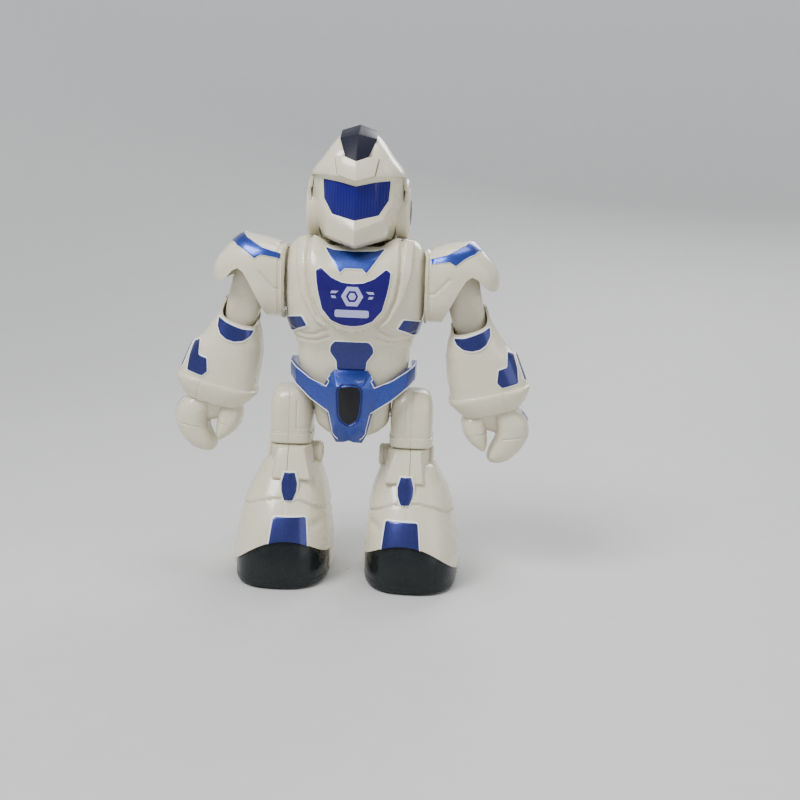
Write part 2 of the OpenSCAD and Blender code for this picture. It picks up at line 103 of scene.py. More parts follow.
def mirrored(half):
    """A closed outline from its right half, listed from top to bottom."""
    return list(half) + [(-x, z) for x, z in reversed(half) if abs(x) > 1e-6]


def flipped(points):
    return [(-x, z) for x, z in reversed(points)]


def spaced(points, gap, closed=True):
    """The same outline with points no further apart than the gap."""
    out = []
    ends = points[1:] + points[:1] if closed else points[1:]
    for a, b in zip(points, ends):
        n = max(1, int(math.ceil(math.dist(a, b) / gap)))
        out += [tuple(a[k] + (b[k] - a[k]) * i / n for k in range(len(a))) for i in range(n)]
    return out if closed else out + [tuple(points[-1])]


def eased(stations, at):
    """Smooth, overshoot-free values between rows of (position, value, value, ...)."""
    table = np.array(sorted(stations), float)
    s, v = table[:, 0], table[:, 1:]
    step = np.diff(s)[:, None]
    slope = np.diff(v, axis=0) / step
    tangent = np.zeros_like(v)
    same = slope[1:] * slope[:-1] > 0
    mean = 2 * slope[1:] * slope[:-1] / np.where(same, slope[1:] + slope[:-1], 1)
    tangent[1:-1] = np.where(same, mean, 0)
    tangent[0], tangent[-1] = slope[0], slope[-1]
    i = np.clip(np.searchsorted(s, at, side="right") - 1, 0, len(s) - 2)
    h = step[i]
    t = ((at - s[i]) / (s[i + 1] - s[i]))[:, None]
    return (
        v[i] * (2 * t**3 - 3 * t**2 + 1)
        + tangent[i] * h * (t**3 - 2 * t**2 + t)
        + v[i + 1] * (3 * t**2 - 2 * t**3)
        + tangent[i + 1] * h * (t**3 - t**2)
    )


class Grid:
    """A tube of points: rows run up it, columns run round it."""

    def __init__(self, points):
        self.points = points

    def normals(self):
        p = self.points
        around = np.roll(p, -1, axis=1) - np.roll(p, 1, axis=1)
        up = np.gradient(p, axis=0)
        n = np.cross(around, up)
        return n / np.maximum(np.linalg.norm(n, axis=2, keepdims=True), 1e-9)

    def carve(self, relief):
        """Moves every point along its normal by relief(x, y, z, normal)."""
        p, n = self.points, self.normals()
        self.points = p + n * relief(p[..., 0], p[..., 1], p[..., 2], n)[..., None]
        return self


def turn_of(columns):
    """The angles of one ring, as a row."""
    return np.linspace(0, 2 * math.pi, columns, endpoint=False)[None, :]


def rounded_square(c, s, a, b, power):
    """How far out a rounded square lies in the direction (c, s)."""
    return (np.abs(c / a) ** power + np.abs(s / b) ** power) ** (-1 / power)


def ring_grid(z, a, front, back, power, columns):
    angle = turn_of(columns)
    c, s = np.cos(angle), np.sin(angle)
    r = rounded_square(c, s, a, np.where(s < 0, front, back), power)
    return Grid(np.stack([r * c, r * s, np.broadcast_to(z, r.shape)], axis=2))


def loft(stations, columns=220, rows=160):
    """Rounded-square rings: stations hold height, half width, front depth, back depth and squareness."""
    heights = [s[0] for s in stations]
    z = np.linspace(min(heights), max(heights), rows)
    return ring_grid(z[:, None], *(c[:, None] for c in eased(stations, z).T), columns)


def along(rows, per):
    """Rows with their running length put first, and the lengths at which rings stand."""
    table = np.array(rows, float)
    run = np.concatenate([[0], np.cumsum(np.linalg.norm(np.diff(table[:, :4], axis=0), axis=1))])
    at = np.concatenate([np.linspace(a, b, per, endpoint=False) for a, b in zip(run, run[1:])] + [[run[-1]]])
    return np.column_stack([run, table]).tolist(), at


def grid_faces(rows, columns, closed=True):
    j = np.arange(rows - 1)[:, None]
    i = np.arange(columns if closed else columns - 1)[None, :]
    k = (i + 1) % columns
    corners = (j * columns + i, j * columns + k, (j + 1) * columns + k, (j + 1) * columns + i)
    return np.stack([a.ravel() for a in np.broadcast_arrays(*corners)], axis=1)


def linked(name, mesh):
    obj = bpy.data.objects.new(name, mesh)
    bpy.context.scene.collection.objects.link(obj)
    return obj


def twin_of(obj):
    """A copy with a mesh of its own."""
    return linked(obj.name, obj.data.copy())


def shaded(mesh, crease):
    """Smooth shading with sharp edges above the crease angle."""
    mesh.shade_smooth()
    mesh.set_sharp_from_angle(angle=math.radians(crease))


def write_mesh(name, points, faces, material, crease=CREASE):
    mesh = bpy.data.meshes.new(name)
    mesh.from_pydata([tuple(p) for p in np.asarray(points) * MM], [], [list(map(int, f)) for f in faces])
    mesh.validate()
    mesh.materials.append(material)
    work = bmesh.new()
    work.from_mesh(mesh)
    bmesh.ops.remove_doubles(work, verts=work.verts, dist=WELD)
    bmesh.ops.recalc_face_normals(work, faces=work.faces)
    work.to_mesh(mesh)
    work.free()
    shaded(mesh, crease)
    return linked(name, mesh)


def apply_modifiers(obj, crease=CREASE):
    """Bakes the modifiers into the mesh."""
    mesh = bpy.data.meshes.new_from_object(obj.evaluated_get(bpy.context.evaluated_depsgraph_get()))
    obj.modifiers.clear()
    obj.data = mesh
    shaded(mesh, crease)
    return obj


def thicken(obj, thickness):
    """Gives a sheet its wall, inwards from the outer face."""
    shell = obj.modifiers.new("wall", "SOLIDIFY")
    shell.thickness = thickness * MM
    shell.offset = -1
    return apply_modifiers(obj)


def cut(obj, cutter, keep="DIFFERENCE"):
    solid = obj.modifiers.new("cut", "BOOLEAN")
    solid.operation = keep
    solid.object = cutter
    solid.solver = "EXACT"
    return apply_modifiers(obj)


def drop(*objs):
    for obj in objs:
        bpy.data.objects.remove(obj)


def tube_piece(name, grid, material, keep=None, caps=True, wall=0):
    """A tube of points as a mesh; keep(x, y, z) chooses its faces by their middles."""
    points = grid.points
    rows, columns = points.shape[:2]
    flat = points.reshape(-1, 3)
    faces = grid_faces(rows, columns)
    if keep is not None:
        middle = flat[faces].mean(axis=1)
        faces = faces[keep(*middle.T)]
    faces = list(faces)
    if caps:
        faces += [list(range(columns))[::-1], list(range((rows - 1) * columns, rows * columns))]
    obj = write_mesh(name, flat, faces, material)
    strip_loose(obj)
    return thicken(obj, wall) if wall else obj


def strip_loose(obj):
    work = bmesh.new()
    work.from_mesh(obj.data)
    bmesh.ops.delete(work, geom=[v for v in work.verts if not v.link_faces], context="VERTS")
    work.to_mesh(obj.data)
    work.free()


def facets(name, half, faces, material, wall=SHELL_T, bevel=EDGE_BEVEL, mirror=True):
    """A faceted plate: explicit corners on one side, mirrored in x, thickened and with eased edges."""
    points = [tuple(p) for p in half]
    faces = [tuple(f) for f in faces]
    if mirror:
        count = len(points)
        points += [(-x, y, z) for x, y, z in half]
        faces += [tuple(i + count for i in reversed(f)) for f in faces]
    obj = write_mesh(name, points, faces, material)
    if wall:
        obj = thicken(obj, wall)
    return bevelled(obj, bevel)


def bevelled(obj, width, segments=3, angle=18):
    soft = obj.modifiers.new("edge", "BEVEL")
    soft.width = width * MM
    soft.segments = segments
    soft.limit_method = "ANGLE"
    soft.angle_limit = math.radians(angle)
    soft.harden_normals = False
    return apply_modifiers(obj, 40)


def host_tree(*objs):
    """A ray target made of several pieces."""
    points, faces = [], []
    for obj in objs:
        base = len(points)
        points += [v.co.copy() for v in obj.data.vertices]
        faces += [[i + base for i in p.vertices] for p in obj.data.polygons]
    return BVHTree.FromPolygons(points, faces)


VIEWS = {
    "front": lambda u, v: (Vector((u, -200, v)), Vector((0, 1, 0))),
    "back": lambda u, v: (Vector((u, 200, v)), Vector((0, -1, 0))),
    "right": lambda u, v: (Vector((200, u, v)), Vector((-1, 0, 0))),
}


def drape(tree, view, u, v, rise):
    """The point where a view ray meets the host, lifted back towards the viewer."""
    start, way = VIEWS[view](u, v)
    spot = tree.ray_cast(start * MM, way)[0]
    if spot is None:
        spot = tree.find_nearest((start + way * 170) * MM)[0]
    return (spot / MM - way * rise)[:]


def inlay(name, outline, tree, view, material, rise=0.7, soft=0.4, centre=None, gap=1.0, crown=0.0, sink=0.8):
    """A plate with an exact outline that follows its host, with eased edges and a sunk skirt."""
    edge = spaced(outline, gap)
    n = len(edge)
    cu = sum(p[0] for p in edge) / n if centre is None else centre[0]
    cv = sum(p[1] for p in edge) / n if centre is None else centre[1]
    size = max(math.hypot(p[0] - cu, p[1] - cv) for p in edge)
    rings = max(4, int(size / (gap * 1.4)))
    levels = [(1.0, -sink), (1.0, rise - soft)]
    for a in (0.5, 1.0, math.pi / 2):
        levels.append((1 - soft * (1 - math.cos(a)) / size, rise - soft + soft * math.sin(a)))
    inner = levels[-1][0]
    levels += [(inner * (1 - k / rings), rise + crown * (1 - (1 - k / rings) ** 2)) for k in range(1, rings)]
    points = [drape(tree, view, cu + (u - cu) * s, cv + (v - cv) * s, h) for s, h in levels for u, v in edge]
    points.append(drape(tree, view, cu, cv, rise + crown))
    faces = [tuple(f) for f in grid_faces(len(levels), n)]
    last = (len(levels) - 1) * n
    faces += [(last + i, last + (i + 1) % n, len(points) - 1) for i in range(n)]
    faces.append(tuple(range(n))[::-1])
    return write_mesh(name, points, faces, material, 40)


def strip(name, edge_a, edge_b, tree, view, material, rise=0.7, soft=0.4, across=10, sink=0.8):
    """A band between two edge lines, draped on its host."""
    edge_a, edge_b = np.array(edge_a, float), np.array(edge_b, float)
    steps = max(len(edge_a), 2)
    width = max(np.hypot(*(edge_a - edge_b).T).max(), 0.1)
    ease_at = soft / width
    sides = [(0, -sink), (0, rise - soft), (ease_at * 0.3, rise - soft * 0.3), (ease_at, rise)]
    middles = [(ease_at + (1 - 2 * ease_at) * k / across, rise) for k in range(1, across)]
    profile = sides + middles + [(1 - t, h) for t, h in reversed(sides)]
    points = []
    for a, b in zip(edge_a, edge_b):
        points += [drape(tree, view, *(a + (b - a) * t), h) for t, h in profile]
    m = len(profile)
    faces = [tuple(f) for f in grid_faces(steps, m, closed=False)]
    faces += [tuple(range(m)), tuple(range((steps - 1) * m, steps * m))[::-1]]
    faces += [(j * m, (j + 1) * m, (j + 2) * m - 1, (j + 1) * m - 1) for j in range(steps - 1)]
    return write_mesh(name, points, faces, material, 40)


def bead(name, path, radius, material, closed=True, sides=8):
    """A round bead swept along points in space."""
    path = [Vector(p) for p in path]
    n = len(path)
    points = []
    for i, p in enumerate(path):
        ahead = path[(i + 1) % n] if closed or i < n - 1 else p
        behind = path[i - 1] if closed or i > 0 else p
        way = (ahead - behind).normalized()
        side = way.cross(Vector((0, 0, 1)) if abs(way.z) < 0.9 else Vector((0, 1, 0))).normalized()
        up = side.cross(way)
        for k in range(sides):
            a = 2 * math.pi * k / sides
            points.append((p + (side * math.cos(a) + up * math.sin(a)) * radius)[:])
    if closed:
        faces = []
        for i in range(n):
            here, there = i * sides, (i + 1) % n * sides
            for k in range(sides):
                turn = (k + 1) % sides
                faces.append((here + k, here + turn, there + turn, there + k))
    else:
        faces = [tuple(f) for f in grid_faces(n, sides)]
        faces += [tuple(range(sides)), tuple(range((n - 1) * sides, n * sides))]
    return write_mesh(name, points, faces, material, 60)


def join(name, *objs):
    """Several meshes as one piece."""
    work = bmesh.new()
    mesh = bpy.data.meshes.new(name)
    for material in dict.fromkeys(m for o in objs for m in o.data.materials):
        mesh.materials.append(material)
    order = list(mesh.materials)
    for obj in objs:
        start = len(work.faces)
        work.from_mesh(obj.data)
        work.faces.ensure_lookup_table()
        slots = [order.index(m) for m in obj.data.materials]
        for face in work.faces[start:]:
            face.material_index = slots[face.material_index] if slots else 0
    work.to_mesh(mesh)
    work.free()
    drop(*objs)
    return linked(name, mesh)


def reflected(obj, name):
    """A copy on the robot's other side."""
    mesh = obj.data.copy()
    mesh.name = name
    for v in mesh.vertices:
        v.co.x = -v.co.x
    mesh.flip_normals()
    return linked(name, mesh)


def moved(obj, place):
    """The same piece with each point, in millimetres, sent through place()."""
    for v in obj.data.vertices:
        v.co = Vector(place(*(v.co / MM))) * MM
    return obj


def fit(obj, body, slot, *nodes):
    """Gives a piece its body and hides the CAD nodes it stands for; the slot argument is not used."""
    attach(obj, body)
    if nodes:
        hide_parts(*nodes)
    return obj


# ---- Materials: scales are features per metre ----


class Nodes:
    """A material's node tree, with short calls for what every finish here needs."""

    def __init__(self, name):
        self.material = bpy.data.materials.new(name)
        self.material.use_nodes = True
        self.tree = self.material.node_tree
        self.shader = self.tree.nodes["Principled BSDF"]
        self.where = self.add("ShaderNodeTexCoord").outputs["Object"]

    def add(self, kind, **inputs):
        node = self.tree.nodes.new(kind)
        for key, value in inputs.items():
            self.feed(node.inputs[key.replace("_", " ")], value)
        return node

    def feed(self, socket, value):
        if isinstance(value, bpy.types.NodeSocket):
            self.tree.links.new(value, socket)
        else:
            socket.default_value = value

    def set(self, **inputs):
        for key, value in inputs.items():
            self.feed(self.shader.inputs[key.replace("_", " ")], value)

    def noise(self, scale, detail=2.0):
        return self.add("ShaderNodeTexNoise", Vector=self.where, Scale=scale, Detail=detail).outputs["Fac"]

    def spread(self, value, low, high, source=(0.3, 0.7)):
        node = self.add("ShaderNodeMapRange", Value=value)
        for key, limit in zip(("From Min", "From Max", "To Min", "To Max"), (*source, low, high)):
            node.inputs[key].default_value = limit
        return node.outputs["Result"]

    def blend(self, factor, a, b):
        node = self.add("ShaderNodeMix")
        node.data_type = "RGBA"
        self.feed(node.inputs["Factor"], factor)
        self.feed(node.inputs["A"], a)
        self.feed(node.inputs["B"], b)
        return node.outputs["Result"]

    def bump(self, height, strength, distance, under=None):
        node = self.add("ShaderNodeBump", Height=height, Strength=strength, Distance=distance)
        if under is not None:
            self.feed(node.inputs["Normal"], under)
        return node.outputs["Normal"]


def rgb(r, g, b):
    return (r, g, b, 1.0)


def moulded(name, pale, deep, rough=(0.2, 0.32), coat=0.35, peel=0.05, glow=0.0, shine=0.5):
    """Glossy injection-moulded plastic: cloudy colour, handling haze and a fine orange peel."""
    n = Nodes(name)
    cloud = n.spread(n.noise(38, 3), 0, 1)
    n.set(Base_Color=n.blend(cloud, pale, deep))
    haze = n.spread(n.noise(95, 4), rough[0], rough[1])
    n.set(Roughness=haze, IOR=1.5, Coat_Weight=coat, Coat_Roughness=0.09)
    n.set(Specular_IOR_Level=shine)
    n.set(Subsurface_Weight=glow, Subsurface_Radius=(0.004, 0.003, 0.002))
    ripple = n.bump(n.noise(700, 2), peel, 0.0002)
    n.set(Normal=n.bump(n.noise(120, 1), peel * 1.6, 0.0008, ripple))
    return n.material


def metallic_paint(name, pale, deep):
    """Metal-flake lacquer: tiny tilted flakes under a clear coat."""
    n = Nodes(name)
    cells = n.add("ShaderNodeTexVoronoi", Vector=n.where, Scale=5200.0)
    sparkle = n.add("ShaderNodeSeparateColor", Color=cells.outputs["Color"]).outputs["Red"]
    n.set(Base_Color=n.blend(n.spread(sparkle, 0.0, 1.0, (0.1, 0.9)), deep, pale))
    n.set(Metallic=0.75, Roughness=n.spread(sparkle, 0.28, 0.38, (0, 1)))
    n.set(Coat_Weight=0.5, Coat_Roughness=0.08)
    n.set(Normal=n.bump(n.noise(240, 2), 0.06, 0.0004))
    return n.material


def streak_painted_visor(name):
    """Tinted visor under a hard gloss face, with fine upright lighter and darker stripes painted into its
    colour as painted reflection streaks.
    """
    n = Nodes(name)
    # Painted reflection: the wave bands lighten the visor colour in upright stripes, standing in for its
    # vertical reflections.
    wave = n.add("ShaderNodeTexWave", Vector=n.where, Scale=190.0, Distortion=0.4)
    wave.bands_direction = "X"
    tone = n.blend(
        n.spread(wave.outputs["Fac"], 0, 1, (0, 1)), rgb(0.006, 0.005, 0.11), rgb(0.010, 0.010, 0.18)
    )
    n.set(Base_Color=tone, Roughness=n.spread(n.noise(60, 3), 0.14, 0.22), Specular_IOR_Level=0.2)
    n.set(Coat_Weight=0.1, Coat_Roughness=0.05)
    n.set(Normal=n.bump(n.noise(90, 1), 0.04, 0.0005))
    return n.material


def polished_metal(name, colour, grain=(1, 1, 1), rough=(0.22, 0.4)):
    """Plated metal with fine drawing marks."""
    n = Nodes(name)
    stretch = n.add("ShaderNodeMapping", Vector=n.where, Scale=grain).outputs["Vector"]
    marks = n.add("ShaderNodeTexNoise", Vector=stretch, Scale=900.0, Detail=3.0).outputs["Fac"]
    n.set(Base_Color=colour, Metallic=1.0, Roughness=n.spread(marks, rough[0], rough[1]))
    n.set(Normal=n.bump(marks, 0.08, 0.0001))
    return n.material


def speckled(name, pale, deep, scale, rough):
    """Matt grained stock, such as tyre rubber, nylon or solder mask."""
    n = Nodes(name)
    grain = n.noise(scale, 4)
    n.set(Base_Color=n.blend(n.spread(grain, 0, 1), pale, deep), Roughness=n.spread(n.noise(140, 2), *rough))
    n.set(Normal=n.bump(grain, 0.18, 0.0002))
    return n.material


def sweep_paper(name):
    """Pale paper; its wall gives off a little light, so every side of the part sees the same soft sky."""
    n = Nodes(name)
    height = n.add("ShaderNodeSeparateXYZ", Vector=n.where).outputs["Z"]
    n.set(Base_Color=n.blend(n.spread(n.noise(60, 4), 0, 1), rgb(0.56, 0.56, 0.555), rgb(0.545, 0.545, 0.54)))
    n.set(Roughness=0.65, Emission_Color=SKY, Emission_Strength=n.spread(height, 0, 0.24, (0.03, 0.7)))
    return n.material


SKY = rgb(0.90, 0.94, 1.0)
IVORY = moulded("ivory_plastic", rgb(0.69, 0.645, 0.49), rgb(0.645, 0.60, 0.455), glow=0.05)
# Painted highlight: rims and beads are real raised edges of the ivory shell, coloured brighter and whiter
# than the ivory to stand for the light they catch.
EDGE_WHITE_HIGHLIGHT = moulded("edge_white_highlight", rgb(0.86, 0.86, 0.84), rgb(0.80, 0.80, 0.78))
BLUE = metallic_paint("metallic_blue", rgb(0.040, 0.085, 0.42), rgb(0.018, 0.036, 0.25))
DEEP_BLUE = metallic_paint("dark_metallic_blue", rgb(0.026, 0.036, 0.20), rgb(0.013, 0.017, 0.12))
INDIGO = moulded(
    "indigo_plastic", rgb(0.014, 0.006, 0.145), rgb(0.010, 0.004, 0.11), (0.24, 0.34), 0.08, 0.03, shine=0.2
)
LAVENDER = moulded("lavender_print", rgb(0.42, 0.42, 0.70), rgb(0.36, 0.36, 0.64), (0.3, 0.42), 0.4, 0.03)
VISOR = streak_painted_visor("visor_blue")
CROWN = moulded(
    "crown_black", rgb(0.014, 0.014, 0.028), rgb(0.008, 0.008, 0.018), (0.34, 0.46), 0.0, 0.04, shine=0.12
)
BLACK = moulded(
    "black_gloss", rgb(0.011, 0.012, 0.014), rgb(0.006, 0.006, 0.008), (0.12, 0.24), 0.2, 0.04, shine=0.2
)
SOLE = moulded(
    "sole_black", rgb(0.016, 0.020, 0.021), rgb(0.009, 0.011, 0.012), (0.2, 0.34), 0.1, 0.06, shine=0.2
)
GREY = speckled("grey_plastic", rgb(0.10, 0.10, 0.11), rgb(0.07, 0.07, 0.075), 1500, (0.45, 0.6))
RUBBER = speckled("wheel_rubber", rgb(0.030, 0.030, 0.031), rgb(0.016, 0.016, 0.017), 2200, (0.6, 0.8))
NYLON = speckled("white_nylon", rgb(0.74, 0.74, 0.70), rgb(0.66, 0.66, 0.62), 900, (0.35, 0.5))
BOARD = speckled("circuit_board", rgb(0.012, 0.16, 0.06), rgb(0.008, 0.10, 0.04), 600, (0.3, 0.45))
SLEEVE = moulded("cell_wrap", rgb(0.03, 0.03, 0.035), rgb(0.02, 0.02, 0.025), (0.25, 0.4), 0.5)
STEEL = polished_metal("steel", rgb(0.62, 0.62, 0.64), (1, 8, 8))
PAPER = sweep_paper("backdrop_paper")
BRASS = polished_metal("brass", rgb(0.72, 0.52, 0.20), (8, 1, 1))

SLOT_LOOK = {
    "ivory_plastic": IVORY, "metallic_blue": BLUE, "indigo_plastic": INDIGO, "visor_blue": VISOR,
    "black_gloss": BLACK, "grey_plastic": GREY, "cell_wrap": SLEEVE, "circuit_board": BOARD,
    "steel": STEEL, "brass": BRASS, "white_nylon": NYLON, "wheel_rubber": RUBBER,
}


def dress_cad():
    """Every CAD node that stays gets its slot's material."""
    slots = {p["node"]: p["material_slot"] for p in frame["record"]["subparts"]}
    for node, obj in frame["nodes"].items():
        look = SLOT_LOOK[slots[node]]
        obj.data.materials.clear()
        obj.data.materials.append(look)


def turned(name, profile, origin, material, columns=72):
    """Spins (radius, x) points about a line along X through origin."""
    ox, oy, oz = origin
    angle = np.linspace(0, 2 * math.pi, columns, endpoint=False)
    points = [(ox + x, oy + r * math.cos(a), oz + r * math.sin(a)) for r, x in profile for a in angle]
    faces = [tuple(f) for f in grid_faces(len(profile), columns)]
    faces += [tuple(range(columns))[::-1], tuple(range((len(profile) - 1) * columns, len(profile) * columns))]
    return write_mesh(name, points, faces, material)


def both_sides(obj, name):
    return join(name, obj, reflected(obj, name + "_twin"))


# ---- Head ----

EAR = (0, 4, 216)
HELMET = [
    (197.5, 16, 14, 14, 2.4), (200, 20.5, 20, 22, 2.4), (207, 25, 24, 30, 2.4), (216, 27.4, 27, 34, 2.4),
    (228, 28.2, 30, 35.5, 2.5), (237, 26.8, 30.5, 34, 3), (247, 19.6, 28.3, 28, 3.6),
    (256.5, 12.6, 20.5, 19, 4), (260.5, 8, 12, 12, 4), (262, 3, 5, 5, 3),
]


def helmet_relief(x, y, z, n):
    """Side seams that sweep from the brow to the nape, and a raised ridge round the ears."""
    seam = line_distance(y, z, [(-6, 246), (6, 238), (20, 236), (32, 224)])
    low_seam = line_distance(y, z, [(-4, 203), (8, 199.5), (20, 204), (31, 216)])
    ears = np.hypot(y - EAR[1], z - EAR[2])
    collar = 0.9 * smooth_step(ears, 19.5, 18.6) * (np.abs(x) > 14)
    nape = 0.9 * smooth_step(z, 209.5, 208.6) * (y > 6)
    return collar + nape - 0.7 * np.exp(-((seam / 0.5) ** 2)) - 0.7 * np.exp(-((low_seam / 0.5) ** 2))


def build_head():
    grid = loft(HELMET, 260, 200).carve(helmet_relief)

    def kept(x, y, z):
        return (z > 236.5) | (y > -10.5 + 0.35 * np.maximum(0, 222 - z))

    helmet = tube_piece("helmet_shell_skin", grid, IVORY, kept, caps=False, wall=SHELL_T)
    brow = facets(
        "brow_panel",
        [(0, -34.4, 244), (6.4, -31.8, 246.4), (12.3, -28.9, 246.8), (10.3, -33.6, 236.3), (0, -37.4, 233.2)],
        [(0, 1, 3, 4), (1, 2, 3)],
        IVORY,
    )
    corners = [
        (12.9, -28, 246.2), (22.8, -21.5, 236.8), (10.9, -32.6, 236.0), (0, -36.4, 233.0),
        (0, -33.0, 230.2), (10.2, -30.1, 232.6), (18.9, -22.3, 233.8),
        (20.9, -20.8, 235.2), (20.8, -20.3, 222.5), (15.7, -27.6, 212.8),
        (18.2, -22.8, 223.2), (13.1, -28.4, 215), (0, -33.8, 211.9),
        (0, -36.8, 206.2), (16.1, -26, 203.2), (0, -35.2, 198), (14.4, -20, 200), (0, -29, 195.9),
        (25.8, -9, 236.6), (26.4, -8, 222), (24.2, -6.5, 211), (19.8, -5, 200.5), (15, -10, 250),
    ]
    face = facets(
        "face_frame",
        corners,
        [
            (0, 1, 2), (2, 1, 6, 5), (3, 2, 5, 4), (1, 7, 6), (6, 7, 8, 10), (10, 8, 9, 11),
            (11, 9, 13, 12), (9, 14, 15, 13), (14, 16, 17, 15), (7, 18, 19, 8), (8, 19, 20, 9),
            (9, 20, 21, 14), (14, 21, 16), (1, 18, 7), (0, 22, 18, 1),
        ],
        IVORY,
        bevel=0.45,
    )
    fit(join("face_shell_skin", brow, face), "head", "ivory_plastic", "face_shell")
    fit(helmet, "head", "ivory_plastic", "helmet_shell")
    visor = facets(
        "visor_glass",
        [
            (0, -32.5, 230.7), (10.2, -29.5, 233.2), (19.4, -21.4, 234.3), (18.8, -21.8, 222.8),
            (13.4, -27.5, 214.4), (0, -33.2, 211.2),
        ],
        [(0, 1, 4, 5), (1, 2, 3, 4)],
        VISOR,
        bevel=0.3,
    )
    fit(visor, "head", "visor_blue", "visor")
    crown = facets(
        "crown_insert",
        [
            (0, -34.3, 243.9), (6.5, -31.6, 246.6), (10.4, -20.6, 256.5), (0, -24, 258.8), (10.6, -5, 261.2),
            (0, -6, 264.6), (9.6, 12, 258.6), (0, 12, 262.3), (0, 26.5, 251), (4.5, 24, 252),
        ],
        [(0, 1, 2, 3), (3, 2, 4, 5), (5, 4, 6, 7), (7, 6, 9, 8)],
        CROWN,
        bevel=0.5,
    )
    fit(crown, "head", "black_gloss", "crown_panel")
    disc_profile = [
        (15.2, 22), (15.2, 27.2), (14.9, 28.3), (14.0, 29.2), (12.6, 29.7), (9.2, 29.9), (8.6, 29.5),
        (8.4, 28.6), (4, 28.4),
    ]
    disc = turned("ear_ring", disc_profile, EAR, IVORY)
    fit(both_sides(disc, "ear_ring_pair"), "head", "ivory_plastic", "ear_discs")
    cap_profile = [(8.2, 27), (8.2, 29.3), (7.8, 29.9), (6.9, 30.3), (3.4, 30.5), (2.8, 30.1), (1, 30)]
    cap = turned("ear_cap", cap_profile, EAR, BLACK)
    fit(both_sides(cap, "ear_cap_pair"), "head", "black_gloss", "ear_caps")


def ringed(rows, columns=240, per=9):
    """Rounded-square rings through (z, half width, front depth, back depth, squareness) rows, in order."""
    return ring_grid(*(c[:, None] for c in eased(*along(rows, per)).T), columns)


def widened(points, gap):
    """A closed outline pushed outwards by a gap."""
    area = sum(a[0] * b[1] - b[0] * a[1] for a, b in zip(points, points[1:] + points[:1]))
    turn = 1 if area > 0 else -1
    out = []
    for i, here in enumerate(points):
        a = (Vector(here) - Vector(points[i - 1])).normalized()
        b = (Vector(points[(i + 1) % len(points)]) - Vector(here)).normalized()
        normal = Vector((a.y + b.y, -a.x - b.x)) * turn
        reach = min(gap * 2 / max(normal.length, 0.6), gap * 1.6)
        out.append(tuple(Vector(here) + normal.normalized() * reach))
    return out


def rimmed(name, outline, tree, view, material, rise=0.9, rim=0.9, radius=1.0, **kind):
    """A painted plate standing in a raised moulded rim, whose near-white colour is a painted highlight on the
    ivory edge.
    """
    shape = rounded(outline, radius)
    edge = inlay(name + "_rim", widened(shape, rim), tree, view, EDGE_WHITE_HIGHLIGHT, rise - 0.25, 0.3, **kind)
    return edge, inlay(name, shape, tree, view, material, rise, 0.3, **kind)


def edging(name, path, tree, view, radius, lift):
    """A fine bead laid on a host along an open line, coloured near-white as a painted highlight along a real
    edge.
    """
    line = [drape(tree, view, u, v, lift) for u, v in spaced(path, 1.0, False)]
    return bead(name, line, radius, EDGE_WHITE_HIGHLIGHT, closed=False)


def divided(edge, per):
    """Each step of an edge cut into the same number of parts."""
    out = []
    for a, b in zip(edge, edge[1:]):
        out += [tuple(p + (q - p) * i / per for p, q in zip(a, b)) for i in range(per)]
    return out + [tuple(edge[-1])]


def box(name, low, high, material=None):
    (x0, y0, z0), (x1, y1, z1) = low, high
    points = [(x, y, z) for x in (x0, x1) for y in (y0, y1) for z in (z0, z1)]
    faces = [(0, 1, 3, 2), (4, 6, 7, 5), (0, 4, 5, 1), (2, 3, 7, 6), (0, 2, 6, 4), (1, 5, 7, 3)]
    return write_mesh(name, points, faces, material or GREY)


def prism(name, outline, y0, y1):
    """A cutter: a front outline pushed through in y."""
    n = len(outline)
    points = [(x, y0, z) for x, z in outline] + [(x, y1, z) for x, z in outline]
    faces = [tuple(range(n)), tuple(range(n, 2 * n))[::-1]]
    faces += [(i, i + n, (i + 1) % n + n, (i + 1) % n) for i in range(n)]
    return write_mesh(name, points, faces, GREY)


# ---- Torso ----

TORSO = [
    (117, 31, 21, 21, 3), (128, 32.3, 22.6, 22.3, 3), (136, 32.8, 23.8, 23.3, 3), (146, 36, 27.5, 27, 3),
    (158, 39.8, 30.5, 30, 3), (170, 41.2, 31, 30.5, 3), (182, 41.2, 30, 30, 3), (190, 40, 27, 27, 3),
    (196, 38, 22.5, 22.5, 2.9), (199.4, 35, 18.5, 18.5, 2.8), (200.6, 31.5, 16, 16, 2.7),
    (199.6, 27.5, 14.5, 14.5, 2.5), (196.5, 23.5, 13.6, 13.6, 2.3), (193.5, 16, 12.6, 12.6, 2.2),
    (192.6, 9.8, 9.8, 9.8, 2),
]
BIB = mirrored([
    (0, 206), (21, 206), (24.6, 202), (24.8, 190), (24.3, 180), (22.4, 169), (17.4, 158.6),
    (9, 151.6), (0, 149.2),
])
STRAP = [
    (26.6, 206), (27, 190), (26.4, 180), (24.5, 169), (19.8, 157.8), (13.5, 151.4),
    (20.5, 154.6), (27.8, 168), (31.6, 181.5), (33.2, 206),
]
COLLAR = [
    (16.8, 196.2), (7.4, 182.9), (5.6, 185.4), (-5.6, 185.4), (-7.4, 182.9), (-16.8, 196.2),
    (-12, 194.8), (0, 194.2), (12, 194.8),
]
PLATE = mirrored([
    (0, 177), (6, 177.5), (12.1, 180.1), (18.3, 185.4), (20.9, 183.7), (20.4, 178), (19.3, 172),
    (16.8, 162.4), (11.6, 156.2), (5.5, 153.7), (0, 153.1),
])
TUMMY = mirrored(
    [(0, 143.4), (9.8, 143.4), (12.1, 140.4), (12.4, 137), (8.6, 131.8), (8.2, 126.6), (0, 126.6)]
)
FLANK = [(24.9, 157), (23.1, 151.7), (33.8, 147.6), (47.5, 146.4), (47.5, 153), (40, 154.4)]
DOOR = ((-22, 123.8), (22, 178))


